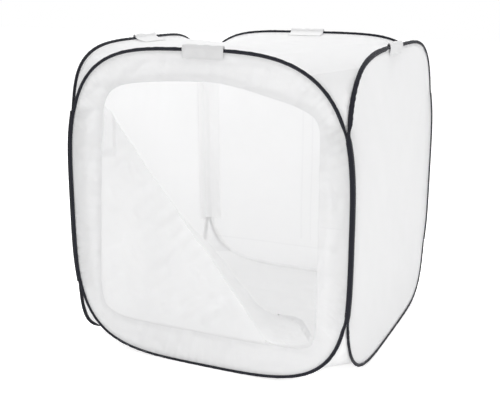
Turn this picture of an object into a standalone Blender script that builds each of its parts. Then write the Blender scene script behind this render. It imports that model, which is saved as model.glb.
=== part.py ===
"""Light tent cube: four sprung cloth walls sewn side to side, with a cloth top and floor.

Metres, +Z up. The front wall faces -Y, the floor rests on z = 0 and the origin is under the middle.
Each wall is a rounded square loop of flat spring steel inside a folded cloth binding. The loops bow,
and their corners are drawn in where two neighbours are sewn together, so every wall piece is made
flat in its wall's own frame (x along the wall, y up, z outwards) and then follows the wall's surface.
"""

import math

import bmesh
import bpy
from mathutils import Matrix, Vector

# Overall size
SPAN = 0.750
HEIGHT = 0.780

# Cloth, and the gaps that keep neighbouring pieces apart
CLOTH = 0.0008
GAP = 0.0003
SEAM = CLOTH + GAP

# Loop binding: a strip folded over the steel, open towards the wall's cloth
BINDING_ACROSS = 0.0062
BINDING_DEEP = 0.0082
BINDING_MOUTH = 0.0030
BINDING_CREST = 0.0028
BINDING_SKIN = 0.0008
BELLY_RISE = 0.0048
CORNER_NEST = 0.0010

# Spring steel and the ferrule that joins its ends
STEEL_WIDTH = 0.0034
STEEL_THICKNESS = 0.0008
STEEL_END_GAP = 0.0010
STEEL_RISE = 0.0007
FERRULE_LENGTH = 0.030
FERRULE_WALL = 0.0005
FERRULE_CLEARANCE = 0.0003
BINDING_BREAK = 0.034

# The fold's axis runs inside the drawn-in corner, so that no binding meets another as it closes
FOLD_INSET = 0.018

# White tab over each loop's top
TAB_WIDTH = 0.104
TAB_DROP = 0.0245
TAB_REACH = 0.034
TAB_RISE = 0.0065
TAB_SIDE = 0.0011

# Corner pieces
TAPE_COVER = 0.0018
TAPE_CHAMFER = 0.0024
STRIP_LEG = 0.052

# Where cloths leave the loop
PANEL_TUCK = 0.0010
EDGE_RISE = 0.0009

# Top and floor
TOP_SAG = 0.016

# Front window: how wide the border is at each side of it, and how far its top edge drops at the ends
BORDER_LEFT_TOP = 0.113
BORDER_LEFT_BOTTOM = 0.077
BORDER_RIGHT = 0.081
BORDER_TOP = 0.0755
BORDER_BOTTOM = 0.090
WINDOW_DROP_LEFT = 0.022
WINDOW_DROP_RIGHT = 0.068
COVER_LAP = 0.012
COVER_BACK = 0.0020
HOOK_RISE = 0.0012
STRIP_WIDTH = 0.018
STRIP_INSET = 0.002

# Cover: the line along which its loose corner turns down into the tent, and that line's last stretch
# along the window's lower edge, as shares of the window's width and height
FOLD_HIGH_SHARES = (0.074, 0.866)
FOLD_LOW_SHARES = (0.779, 0.019)
FOLD_END_SHARES = (0.983, 0.006)
# Its hanging edge from the free corner to the window's lower corner: shares of the window's width,
# of the span inwards from the wall, and of the window's height
HEM_SHARES = (
    (0.250, 0.153, 0.008),
    (0.436, 0.227, -0.078),
    (0.605, 0.207, -0.052),
    (0.740, 0.163, 0.029),
    (0.882, 0.109, 0.068),
    (0.976, 0.032, 0.036),
)
BULGE_SHARE = 0.16
WAVE_SHARE = 0.04
FOLDS = 3

# Shape of the loops. Each corner's reach is its point on the diagonal, as a share of a square
# corner's, in the order upper right, upper left, lower left, lower right seen from outside.
WALLS = ("front", "right", "back", "left")
CORNER_REACH_SHARES = {
    "front": (0.805, 0.824, 0.839, 0.850),
    "right": (0.827, 0.872, 0.857, 0.881),
    "back": (0.863, 0.858, 0.870, 0.848),
    "left": (0.878, 0.815, 0.850, 0.910),
}
BOW_SHARES = {"front": 0.008, "right": -0.004, "back": 0.004, "left": -0.055}
TAB_PLACE_SHARES = {"front": 0.037, "right": -0.195, "back": 0.056, "left": 0.155}
CREASE_SHARES = {"front": 0.70, "right": 0.80, "back": 0.76, "left": 0.80}
LEVEL_SHARES = (0.0, 0.24, 0.40, 0.50, 0.58)
SHOULDER_SHARES = (0.56, 0.40, 0.25)
CORNER_STEPS = 5

# Rows of the cloths, as shares of the way out from the middle
PANEL_ROW_SHARES = (0.86, 0.56)
TOP_ROW_SHARES = (0.70, 0.40)
FLOOR_ROW_SHARES = (0.88, 0.70, 0.35)
FLOOR_LIFT_SHARES = (0.30, 0.0, 0.0)
COVER_ROW_SHARES = (0.0, 1 / 3, 2 / 3, 1.0)
FLAP_ROW_SHARES = (0.0, 0.18, 0.38, 0.58, 0.79, 1.0)
COLUMNS = 20
FERRULE_STEPS = 4
TAB_SHOULDER_SHARE = 2 / 3
TAB_KNEE_SHARE = 1 / 4
WINDOW_SQUARENESS_LEFT = 9
WINDOW_SQUARENESS_RIGHT = 14
WINDOW_DROP_POWER = 1.5
REFINEMENTS = 6
SHARP_ANGLE_DEGREES = 40
WELD = 0.00003

# Worked out from the sizes above
CORNER_SETBACK = BINDING_DEEP / 2 + BINDING_ACROSS / 2 - CORNER_NEST
HALF_WIDTH = SPAN / 2 - CORNER_SETBACK
HALF_HEIGHT = (HEIGHT - BINDING_DEEP) / 2
MIDDLE = HEIGHT / 2
FACE_BACK = BINDING_ACROSS / 2 + GAP + CLOTH / 2
STRIP_BACK = FACE_BACK + GAP
TAB_REST_SHARE = 1 - TAB_REACH / (SPAN / 2)
WINDOW_LEFT_TOP = SPAN / 2 - BORDER_LEFT_TOP
WINDOW_LEFT_BOTTOM = SPAN / 2 - BORDER_LEFT_BOTTOM
WINDOW_RIGHT = SPAN / 2 - BORDER_RIGHT
WINDOW_TOP = HEIGHT - BORDER_TOP
WINDOW_BOTTOM = BORDER_BOTTOM
WINDOW_MIDDLE = Vector(((WINDOW_RIGHT - WINDOW_LEFT_TOP) / 2, (WINDOW_TOP + WINDOW_BOTTOM) / 2))


def in_window(shares):
    """A place on the front wall, by shares of the window's width and height."""
    along = shares[0] * (WINDOW_LEFT_BOTTOM + WINDOW_RIGHT) - WINDOW_LEFT_BOTTOM
    return Vector((along, WINDOW_BOTTOM + shares[1] * (WINDOW_TOP - WINDOW_BOTTOM)))


FOLD_HIGH = in_window(FOLD_HIGH_SHARES)
FOLD_LOW = in_window(FOLD_LOW_SHARES)

# Bodies: where each one turns, and what it hangs on
BODIES = {
    "front_body": (None, Vector((0, -SPAN / 2, 0))),
    "right_body": ("front_body", Vector((SPAN / 2 - FOLD_INSET, -SPAN / 2 + FOLD_INSET, 0))),
    "left_body": ("front_body", Vector((-SPAN / 2, -SPAN / 2, 0))),
    "back_body": ("right_body", Vector((SPAN / 2, SPAN / 2, 0))),
    "cover_body": ("front_body", Vector((FOLD_HIGH.x, -SPAN / 2 + COVER_BACK + SEAM, FOLD_HIGH.y))),
}


def clear_scene():
    for item in list(bpy.data.objects):
        bpy.data.objects.remove(item, do_unlink=True)


def material(name, colour, roughness, metallic=0.0):
    made = bpy.data.materials.new(name)
    made.use_nodes = True
    shader = made.node_tree.nodes["Principled BSDF"]
    shader.inputs["Base Color"].default_value = (*colour, 1.0)
    shader.inputs["Roughness"].default_value = roughness
    shader.inputs["Metallic"].default_value = metallic
    return made


def blend(start, end, share):
    return start + (end - start) * share


# The loop's outline and the wall's surface


def corner_power(wall, side, up):
    """Exponent of the rounded corner whose reach is given."""
    order = {(1, 1): 0, (-1, 1): 1, (-1, -1): 2, (1, -1): 3}
    return math.log(2) / -math.log(CORNER_REACH_SHARES[wall][order[side, up]])


def neighbour(wall, side):
    return WALLS[(WALLS.index(wall) + side) % len(WALLS)]


def side_inset(wall, side, level):
    """How far the loop's side is drawn in at a height, up to where the neighbours part."""
    power = corner_power(wall, side, 1 if level >= 0 else -1)
    reach = min(abs(level), LEVEL_SHARES[-1])
    return HALF_WIDTH * (1 - (1 - reach ** power) ** (1 / power))


def wall_offset(wall, x, y):
    """Distance of the wall's surface outwards from its flat plane."""
    level = (y - MIDDLE) / HALF_HEIGHT
    side = 1 if x >= 0 else -1
    across = min(1.0, abs(x) / (HALF_WIDTH - side_inset(wall, side, level)))
    bow = BOW_SHARES[wall] * SPAN * level ** 2 * (1 - across ** 2)
    return bow - side_inset(neighbour(wall, side), -side, level) * across ** 2


def on_wall(wall, x, y, out=0.0):
    """A point of the wall's frame, set out from the wall's surface."""
    return Vector((x, y, wall_offset(wall, x, y) + out))


def wall_frame(wall):
    turn = WALLS.index(wall) * math.pi / 2
    outwards = Vector((math.sin(turn), -math.cos(turn), 0))
    spin = Matrix.Rotation(turn, 4, "Z") @ Matrix.Rotation(math.pi / 2, 4, "X")
    return Matrix.Translation(outwards * SPAN / 2) @ spin


def to_world(wall, point):
    return wall_frame(wall) @ point


def loop_point(wall, side, up, angle):
    """Point and outward direction on the loop's centre line, from its side to its top or bottom."""
    power = corner_power(wall, side, up)
    across = math.cos(angle) ** (2 / power)
    level = math.sin(angle) ** (2 / power)
    point = Vector((side * HALF_WIDTH * across, MIDDLE + up * HALF_HEIGHT * level))
    slope = Vector((side * across ** (power - 1) / HALF_WIDTH, up * level ** (power - 1) / HALF_HEIGHT))
    return point, slope.normalized()


def tab_place(wall):
    """Where along the loop's top its tab sits, over the joint of the steel."""
    return TAB_PLACE_SHARES[wall] * HALF_WIDTH


def quadrant(wall, side, up):
    """Points of a quarter of the loop, from the middle of its side to its top or bottom."""
    power = corner_power(wall, side, up)
    angles = [math.asin(level ** (power / 2)) for level in LEVEL_SHARES]
    crease = math.acos(CREASE_SHARES[wall] ** (power / 2))
    join = angles[-1]
    for step in range(1, CORNER_STEPS + 1):
        angles.append(blend(join, crease, step / CORNER_STEPS))
    stops = [share * HALF_WIDTH for share in SHOULDER_SHARES]
    if up > 0:
        for reach in (TAB_WIDTH / 2, BINDING_BREAK / 2, -BINDING_BREAK / 2, -TAB_WIDTH / 2):
            stop = side * (tab_place(wall) + reach)
            if stop > 0:
                stops.append(stop)
    for stop in sorted(stops, reverse=True):
        angles.append(math.acos((stop / HALF_WIDTH) ** (power / 2)))
    angles.append(math.pi / 2)
    return [loop_point(wall, side, up, angle) for angle in angles]


JOIN = len(LEVEL_SHARES) - 1
CREASE = JOIN + CORNER_STEPS


def whole_loop(wall):
    """The loop's points once round, from the middle of its right side by way of its top."""
    upper_right = quadrant(wall, 1, 1)
    upper_left = quadrant(wall, -1, 1)
    lower_left = quadrant(wall, -1, -1)
    lower_right = quadrant(wall, 1, -1)
    return upper_right[:-1] + upper_left[:0:-1] + lower_left[:-1] + lower_right[:0:-1]


def upper_loop(wall):
    """The loop's points over its top, from the middle of its left side to that of its right."""
    left = [point for point, _ in quadrant(wall, -1, 1)]
    right = [point for point, _ in quadrant(wall, 1, 1)]
    return left + right[-2::-1]


def top_point(wall, x):
    """Point of the loop's centre line over a place along its top."""
    side = 1 if x > 0 else -1
    power = corner_power(wall, side, 1)
    return loop_point(wall, side, 1, math.acos((abs(x) / HALF_WIDTH) ** (power / 2)))[0]


def open_loop(wall, half_break):
    """The loop's centre line from one side of the break in its top round to the other."""
    low = tab_place(wall) - half_break
    high = tab_place(wall) + half_break
    upper = upper_loop(wall)
    left = [point for point in upper if point.x < low - STEEL_END_GAP] + [top_point(wall, low)]
    right = [top_point(wall, high)] + [point for point in upper if point.x > high + STEEL_END_GAP]
    lower_left = [point for point, _ in quadrant(wall, -1, -1)]
    lower_right = [point for point, _ in quadrant(wall, 1, -1)]
    return left[::-1] + lower_left[1:] + lower_right[-2::-1] + right[-2::-1]


# Makers


def finish(obj, body, look, frame=None):
    """Put a mesh made in a wall's frame, or in the world, on its body with its own material."""
    obj.data.materials.clear()
    obj.data.materials.append(look)
    pivot = BODIES[body][1]
    if frame is None:
        obj.data.transform(Matrix.Translation(-pivot))
        obj.location = (0, 0, 0)
    else:
        place = wall_frame(frame)
        obj.rotation_euler = place.to_euler()
        obj.location = place.to_translation() - pivot
    obj.parent = bpy.data.objects[body]
    obj.data.shade_smooth()
    obj.data.set_sharp_from_angle(angle=math.radians(SHARP_ANGLE_DEGREES))
    return obj


def object_from(name, mesh):
    made = bpy.data.objects.new(name, mesh)
    parts.objects.link(made)
    return made


def sheet(name, rows, closed=False, middle=None, flat_middle=False):
    """Cloth through rows of points: an open surface with a thickness, filled inside its last row."""
    cloth = bmesh.new()
    grid = [[cloth.verts.new(point) for point in row] for row in rows]
    for row, after in zip(grid, grid[1:]):
        count = len(row)
        for index in range(count if closed else count - 1):
            following = (index + 1) % count
            cloth.faces.new((row[index], row[following], after[following], after[index]))
    inner = grid[-1]
    if flat_middle:
        cloth.faces.new(inner)
    if middle is not None:
        centre = cloth.verts.new(middle)
        for index, corner in enumerate(inner):
            cloth.faces.new((corner, inner[(index + 1) % len(inner)], centre))
    bmesh.ops.recalc_face_normals(cloth, faces=cloth.faces)
    mesh = bpy.data.meshes.new(name)
    cloth.to_mesh(mesh)
    cloth.free()
    made = object_from(name, mesh)
    skin = made.modifiers.new("thickness", "SOLIDIFY")
    skin.thickness = CLOTH
    skin.offset = 0
    skin.use_even_offset = True
    return made


def flat_curve(name, outlines, cyclic):
    data = bpy.data.curves.new(name, "CURVE")
    data.dimensions = "2D"
    for points in outlines:
        spline = data.splines.new("POLY")
        spline.points.add(len(points) - 1)
        for slot, point in zip(spline.points, points):
            slot.co = (point[0], point[1], 0, 1)
        spline.use_cyclic_u = cyclic
    return object_from(name, data)


def as_mesh(name, curve, spare=None):
    """Turn a curve object into a welded mesh object, and remove the curve and its section."""
    bpy.context.view_layer.update()
    mesh = bpy.data.meshes.new_from_object(curve.evaluated_get(bpy.context.evaluated_depsgraph_get()))
    bpy.data.objects.remove(curve)
    if spare:
        bpy.data.objects.remove(spare)
    welded = bmesh.new()
    welded.from_mesh(mesh)
    bmesh.ops.remove_doubles(welded, verts=welded.verts, dist=WELD)
    bmesh.ops.recalc_face_normals(welded, faces=welded.faces)
    welded.to_mesh(mesh)
    welded.free()
    return object_from(name, mesh)


def swept(name, wall, path, section):
    """Sweep a closed section of (outwards in the wall's plane, across it) along part of the loop."""
    profile = flat_curve(name + "_section", [section], True)
    curve = flat_curve(name + "_path", [path], False)
    curve.data.fill_mode = "NONE"
    curve.data.bevel_mode = "OBJECT"
    curve.data.bevel_object = profile
    curve.data.use_fill_caps = True
    made = as_mesh(name, curve, profile)
    for vertex in made.data.vertices:
        vertex.co.z += wall_offset(wall, vertex.co.x, vertex.co.y)
    return made


# Sections


def binding_section():
    """Folded strip: round its outside, then round the slot that holds the steel and the cloth."""
    foot = -BINDING_DEEP / 2
    crest = BINDING_DEEP / 2
    belly = foot + BELLY_RISE
    side = BINDING_ACROSS / 2
    outer = [(foot, BINDING_MOUTH / 2), (belly, side), (crest, BINDING_CREST / 2)]
    inner = [
        (foot, BINDING_MOUTH / 2 - BINDING_SKIN),
        (belly, side - BINDING_SKIN),
        (crest - BINDING_SKIN, BINDING_CREST / 2 - GAP),
    ]
    outside = outer + [(along, -across) for along, across in reversed(outer)]
    inside = [(along, -across) for along, across in inner] + list(reversed(inner))
    return outside + inside


def steel_section():
    low = STEEL_RISE - STEEL_THICKNESS / 2
    high = STEEL_RISE + STEEL_THICKNESS / 2
    half = STEEL_WIDTH / 2
    return [(low, -half), (low, half), (high, half), (high, -half)]


# Wall pieces


def make_binding(wall):
    made = swept(wall + "_binding", wall, open_loop(wall, BINDING_BREAK / 2), binding_section())
    finish(made, wall + "_body", material(wall + "_binding", (0.011, 0.012, 0.030), 0.85), wall)


def make_steel(wall):
    made = swept(wall + "_steel_loop", wall, open_loop(wall, STEEL_END_GAP / 2), steel_section())
    finish(made, wall + "_body", material(wall + "_steel_loop", (0.42, 0.43, 0.45), 0.30, 1.0), wall)


def make_ferrule(wall):
    """Flattened sleeve over the two ends of the steel."""
    outlines = []
    for spread in (FERRULE_CLEARANCE + FERRULE_WALL, FERRULE_CLEARANCE):
        half = STEEL_WIDTH / 2
        radius = STEEL_THICKNESS / 2 + spread
        outline = []
        for end in (1, -1):
            for step in range(FERRULE_STEPS + 1):
                angle = math.pi * (step / FERRULE_STEPS - 1 / 2)
                along = end * (half + (spread + GAP) * math.cos(angle))
                outline.append((along, end * radius * math.sin(angle)))
        outlines.append(outline)
    tube = flat_curve(wall + "_ferrule_outline", outlines, True)
    tube.data.fill_mode = "BOTH"
    tube.data.extrude = FERRULE_LENGTH / 2
    made = as_mesh(wall + "_ferrule", tube)
    place = top_point(wall, tab_place(wall))
    spin = Matrix.Rotation(math.pi / 2, 4, "Y")
    made.data.transform(Matrix.Translation((place.x, place.y + STEEL_RISE, 0)) @ spin)
    for vertex in made.data.vertices:
        vertex.co.z += wall_offset(wall, vertex.co.x, place.y)
    finish(made, wall + "_body", material(wall + "_ferrule", (0.55, 0.55, 0.53), 0.35, 1.0), wall)


def panel_edge(wall, tuck=PANEL_TUCK):
    """Points round the wall cloth, a tuck inside the loop's centre line."""
    return [point - outwards * tuck for point, outwards in whole_loop(wall)]


def make_panel(wall):
    edge = panel_edge(wall)
    centre = Vector((0, MIDDLE))
    rows = [[on_wall(wall, *point) for point in edge]]
    rows.append([on_wall(wall, *point) for point in panel_edge(wall, BINDING_DEEP)])
    for share in PANEL_ROW_SHARES:
        rows.append([on_wall(wall, *blend(centre, point, share)) for point in edge])
    made = sheet(wall + "_panel", rows, closed=True, middle=on_wall(wall, *centre))
    finish(made, wall + "_body", material(wall + "_panel", (0.86, 0.87, 0.88), 0.75), wall)


def top_level(edge_level, share):
    """Height of the top cloth, a share of the way out from the middle to an edge."""
    middle = HEIGHT - BINDING_DEEP - TOP_SAG
    return middle + (edge_level - middle) * share ** 4


def make_tab(wall):
    """White sleeve over the break in the binding: down the outside, and in over the top cloth."""
    side = BINDING_ACROSS / 2 + TAB_SIDE
    crest = BINDING_DEEP / 2
    seam_level = MIDDLE + HALF_HEIGHT + EDGE_RISE
    rest = top_level(seam_level, TAB_REST_SHARE) + SEAM + 2 * GAP - (MIDDLE + HALF_HEIGHT)
    section = [
        (crest - TAB_DROP, side),
        (crest - BINDING_DEEP * TAB_KNEE_SHARE, side),
        (crest + TAB_RISE * TAB_SHOULDER_SHARE, side * TAB_SHOULDER_SHARE),
        (crest + TAB_RISE, 0.0),
        (crest + TAB_RISE * TAB_SHOULDER_SHARE, -side * TAB_SHOULDER_SHARE),
        (crest - BINDING_DEEP * TAB_KNEE_SHARE, -side - CLOTH),
        (rest, -TAB_REACH),
    ]
    half = TAB_WIDTH / 2 + WELD
    stops = [point for point in upper_loop(wall) if abs(point.x - tab_place(wall)) < half]
    rows = []
    for rise, out in section:
        rows.append([on_wall(wall, point.x, point.y + rise, out) for point in stops])
    made = sheet(wall + "_top_tab", rows)
    finish(made, wall + "_body", material(wall + "_top_tab", (0.80, 0.81, 0.82), 0.80), wall)


# Front window and its cover


def window_point(direction):
    """Point of the window's outline in a direction from its middle, and that direction."""
    direction = direction.normalized()
    power = WINDOW_SQUARENESS_RIGHT if direction.x > 0 else WINDOW_SQUARENESS_LEFT
    most = WINDOW_DROP_RIGHT if direction.x > 0 else WINDOW_DROP_LEFT
    reach = WINDOW_RIGHT
    for _ in range(REFINEMENTS):
        x, y = WINDOW_MIDDLE + direction * reach
        lean = (WINDOW_TOP - y) / (WINDOW_TOP - WINDOW_BOTTOM)
        left = blend(WINDOW_LEFT_TOP, WINDOW_LEFT_BOTTOM, lean)
        width = WINDOW_RIGHT - WINDOW_MIDDLE.x if direction.x > 0 else left + WINDOW_MIDDLE.x
        drop = most * (abs(x - WINDOW_MIDDLE.x) / WINDOW_RIGHT) ** WINDOW_DROP_POWER
        top = WINDOW_TOP - drop - WINDOW_MIDDLE.y
        height = top if direction.y > 0 else WINDOW_MIDDLE.y - WINDOW_BOTTOM
        sides = abs(direction.x / width) ** power + abs(direction.y / height) ** power
        reach = sides ** (-1 / power)
    return WINDOW_MIDDLE + direction * reach, direction


def window_outline():
    """The window's outline, one point for each point of the loop round it."""
    return [window_point(point - WINDOW_MIDDLE) for point in panel_edge("front")]


def above_fold(point):
    """How far a point of the front wall lies beyond the fold line, towards the cover's free corner."""
    run = (FOLD_LOW - FOLD_HIGH).normalized()
    return (point - FOLD_HIGH).dot(Vector((-run.y, run.x)))


def make_front_panel():
    """Border of cloth round the window."""
    rows = [[on_wall("front", *point) for point in panel_edge("front")]]
    rows.append([on_wall("front", *point) for point in panel_edge("front", BINDING_DEEP)])
    rows.append([on_wall("front", *point) for point, _ in window_outline()])
    made = sheet("front_panel", rows, closed=True)
    finish(made, "front_body", material("front_panel", (0.84, 0.85, 0.86), 0.75), "front")


def make_window_strip():
    """Loop strip on the border's inner face, where the cover's free edges close on it."""
    outline = window_outline()
    count = len(outline)
    loose = [above_fold(point) > COVER_LAP + STRIP_WIDTH for point, _ in outline]
    first = next(index for index in range(count) if loose[index] and not loose[index - 1])
    kept = []
    for step in range(count):
        if loose[(first + step) % count]:
            kept.append(outline[(first + step) % count])
    rows = []
    for reach in (STRIP_INSET, STRIP_INSET + STRIP_WIDTH):
        rows.append([on_wall("front", *(point + outwards * reach), -COVER_BACK) for point, outwards in kept])
    made = sheet("window_loop_strip", rows)
    finish(made, "front_body", material("window_loop_strip", (0.78, 0.79, 0.80), 0.95), "front")


def make_front_cover():
    """The cover's fixed corner: sewn behind the border, up to the line where the rest turns down."""
    outline = window_outline()
    count = len(outline)
    fixed = [above_fold(point) < 0 for point, _ in outline]
    first = next(index for index in range(count) if fixed[index] and not fixed[index - 1])
    sewn = []
    for step in range(count):
        if fixed[(first + step) % count]:
            point, outwards = outline[(first + step) % count]
            sewn.append(point + outwards * COVER_LAP)
    fold = []
    for index in range(len(sewn)):
        fold.append(blend(FOLD_HIGH, FOLD_LOW, index / (len(sewn) - 1)))
    rows = []
    for share in COVER_ROW_SHARES:
        rows.append([on_wall("front", *blend(a, b, share), -COVER_BACK) for a, b in zip(sewn, fold)])
    made = sheet("front_cover", rows)
    finish(made, "front_body", material("front_cover", (0.80, 0.80, 0.81), 0.80), "front")


def along(route, share):
    """Point on a smooth curve through the route's points, at a share of its steps."""
    place = share * (len(route) - 1)
    index = min(int(place), len(route) - 2)
    part = place - index
    points = [route[min(max(index + step, 0), len(route) - 1)] for step in (-1, 0, 1, 2)]
    start, end = points[1], points[2]
    leave = (points[2] - points[0]) / 2
    arrive = (points[3] - points[1]) / 2
    ease = part * part * (3 - 2 * part)
    return (
        blend(start, end, ease)
        + leave * part * (1 - part) ** 2
        - arrive * part ** 2 * (1 - part)
    )


def fold_route():
    """Where the hanging part of the cover begins: down the fold line, then along the window's edge."""
    route = [blend(FOLD_HIGH, FOLD_LOW, share) for share in COVER_ROW_SHARES]
    return route + [in_window(FOLD_END_SHARES)]


def hem_route():
    """The hanging part's loose edge."""
    route = []
    for wide, inwards, tall in HEM_SHARES:
        place = in_window((wide, tall))
        route.append(Vector((place.x, inwards * SPAN - SPAN / 2, place.y)))
    return route


def flap_column(column_share):
    """Points down the hanging part of the cover, from the fold line to its loose edge."""
    place = along(fold_route(), column_share)
    start = to_world("front", on_wall("front", place.x, place.y, -COVER_BACK - SEAM))
    end = along(hem_route(), column_share)
    length = (end - start).length
    strip_share = 1 - min(STRIP_WIDTH / length, 1 / 2)
    points = []
    for row_share in [share * strip_share for share in FLAP_ROW_SHARES] + [1.0]:
        bulge = 4 * row_share * (1 - row_share) * math.sin(math.pi * column_share)
        wave = math.sin(2 * math.pi * FOLDS * column_share) * math.sin(math.pi * row_share)
        inwards = Vector((0, (start.z - end.z) * (BULGE_SHARE * bulge + WAVE_SHARE * wave), 0))
        points.append(blend(start, end, row_share) + inwards)
    return points


def make_cover_flap():
    columns = [flap_column(column / COLUMNS) for column in range(COLUMNS + 1)]
    made = sheet("cover_flap", list(zip(*columns)))
    finish(made, "cover_body", material("cover_flap", (0.84, 0.84, 0.85), 0.80))


def make_hook_strip():
    """Hook strip along the hanging edge, on the side that faces the window when the cover is shut."""
    columns = [flap_column(column / COLUMNS)[-2:] for column in range(COLUMNS + 1)]
    rows = ([], [])
    for before, here, after in zip(columns, columns[1:], columns[2:-1]):
        for row, point, left, right in zip(rows, here, before, after):
            face = (right - left).cross(here[1] - here[0]).normalized()
            row.append(point + face * HOOK_RISE)
    made = sheet("cover_hook_strip", rows)
    finish(made, "cover_body", material("cover_hook_strip", (0.25, 0.26, 0.29), 0.95))


# Corners


CORNERS = (
    ("front_right", "front", "right", "front_body"),
    ("back_right", "right", "back", "right_body"),
    ("back_left", "back", "left", "back_body"),
    ("front_left", "left", "front", "front_body"),
)


def joined_levels(wall, side):
    """The loop's points where it is sewn to its neighbour, from the lowest to the highest."""
    lower = quadrant(wall, side, -1)[JOIN:0:-1]
    upper = quadrant(wall, side, 1)[: JOIN + 1]
    return [point for point, _ in lower + upper]


def make_hinge_tape(name, wall, following, body):
    """Tape round the outside of a corner, over both bindings."""
    rows = []
    for point, other in zip(joined_levels(wall, 1), joined_levels(following, -1)):
        over = CORNER_SETBACK + FACE_BACK - TAPE_CHAMFER
        row = [
            to_world(wall, on_wall(wall, point.x - TAPE_COVER, point.y, FACE_BACK)),
            to_world(wall, on_wall(wall, point.x + over, point.y, FACE_BACK)),
            to_world(following, on_wall(following, other.x - over, other.y, FACE_BACK)),
            to_world(following, on_wall(following, other.x + TAPE_COVER, other.y, FACE_BACK)),
        ]
        rows.append(row)
    made = sheet(name + "_hinge_tape", rows)
    finish(made, body, material(name + "_hinge_tape", (0.013, 0.014, 0.032), 0.85))


def make_corner_strip(name, wall, following, body):
    """White facing up the inside of a corner."""
    leg = STRIP_LEG - CORNER_SETBACK
    rows = []
    for point, other in zip(joined_levels(wall, 1), joined_levels(following, -1)):
        turn = CORNER_SETBACK - STRIP_BACK
        row = [
            to_world(wall, on_wall(wall, point.x - leg, point.y, -STRIP_BACK)),
            to_world(wall, on_wall(wall, point.x + turn, point.y, -STRIP_BACK)),
            to_world(following, on_wall(following, other.x + leg, other.y, -STRIP_BACK)),
        ]
        rows.append(row)
    for row, shift in ((rows[0], 2 * SEAM), (rows[-1], -2 * SEAM)):
        for point in row:
            point.z += shift
    made = sheet(name + "_corner_strip", rows)
    finish(made, body, material(name + "_corner_strip", (0.88, 0.89, 0.90), 0.75))


def sewn_edge(wall, sample):
    """Point of the seam where the top, the floor and the gussets meet the loop."""
    point, outwards = sample
    seam = point + outwards * EDGE_RISE
    return to_world(wall, on_wall(wall, seam.x, seam.y, -FACE_BACK))


def gusset_rows(wall, following, up):
    """Rows of three points between two loops, from where they part to the crease."""
    near = quadrant(wall, 1, up)[JOIN:CREASE + 1]
    far = quadrant(following, -1, up)[JOIN:CREASE + 1]
    point = near[0][0]
    inner = to_world(wall, on_wall(wall, point.x + CORNER_SETBACK - FACE_BACK, point.y, -FACE_BACK))
    rows = []
    for step, (first, last) in enumerate(zip(near, far)):
        start = sewn_edge(wall, first)
        end = sewn_edge(following, last)
        middle = blend(start, end, 1 / 2)
        corner = Vector((inner.x, inner.y, middle.z))
        rows.append([start, blend(corner, middle, step / CORNER_STEPS), end])
    return rows


def make_gussets(name, wall, following, body):
    for up, place in ((1, "top"), (-1, "bottom")):
        made = sheet(name + "_" + place + "_gusset", gusset_rows(wall, following, up))
        finish(made, body, material(made.name, (0.83, 0.84, 0.85), 0.80))


# Top and floor


def rim(up):
    """The seam round the top or the floor: along each loop, and across each corner's crease."""
    points = []
    for _, wall, following, _ in CORNERS:
        left = quadrant(wall, -1, up)[CREASE + 1:]
        right = quadrant(wall, 1, up)[CREASE + 1:]
        points += [sewn_edge(wall, sample) for sample in left + right[-2::-1]]
        crease = gusset_rows(wall, following, up)[-1]
        for point in crease:
            inwards = Vector((-point.x, -point.y, 0)).normalized()
            points.append(point + inwards * SEAM)
    return points


def make_top():
    edge = rim(1)
    rows = [edge]
    for share in (TAB_REST_SHARE,) + TOP_ROW_SHARES:
        row = []
        for point in edge:
            row.append(Vector((point.x * share, point.y * share, top_level(point.z, share))))
        rows.append(row)
    made = sheet("top_panel", rows, closed=True, middle=Vector((0, 0, top_level(HEIGHT, 0))))
    finish(made, "front_body", material("top_panel", (0.87, 0.88, 0.89), 0.75))


def make_floor():
    """Floor cloth, flat where it rests and rising to the seam round its edge."""
    edge = rim(-1)
    rows = [edge]
    for share, lift in zip(FLOOR_ROW_SHARES, FLOOR_LIFT_SHARES):
        row = []
        for point in edge:
            row.append(Vector((point.x * share, point.y * share, blend(CLOTH / 2, point.z, lift))))
        rows.append(row)
    made = sheet("floor_panel", rows, closed=True, flat_middle=True)
    finish(made, "front_body", material("floor_panel", (0.85, 0.86, 0.87), 0.75))


def make_bodies():
    for name, (carrier, place) in BODIES.items():
        pivot = object_from(name, None)
        pivot.empty_display_size = CORNER_SETBACK
        pivot.location = place
        if carrier:
            pivot.parent = bpy.data.objects[carrier]
            pivot.location = place - BODIES[carrier][1]


def main():
    make_bodies()
    for wall in WALLS:
        make_steel(wall)
        make_ferrule(wall)
        make_binding(wall)
        make_tab(wall)
        if wall == "front":
            make_front_panel()
        else:
            make_panel(wall)
    make_window_strip()
    make_front_cover()
    make_cover_flap()
    make_hook_strip()
    for corner in CORNERS:
        make_hinge_tape(*corner)
        make_corner_strip(*corner)
        make_gussets(*corner)
    make_top()
    make_floor()


clear_scene()
parts = bpy.data.collections.new("light_tent_cube")
bpy.context.scene.collection.children.link(parts)
main()
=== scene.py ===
"""Light tent cube, dressed: cloth, bindings, tabs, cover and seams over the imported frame.

Each wall has its own frame: x along the wall, y up, z outwards. A piece is laid out flat there and then
follows the wall's surface, which bows, and is drawn in where two neighbours are sewn together.
"""

import functools
import math

import bmesh
import bpy
import numpy as np
from mathutils import Matrix, Vector

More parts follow.
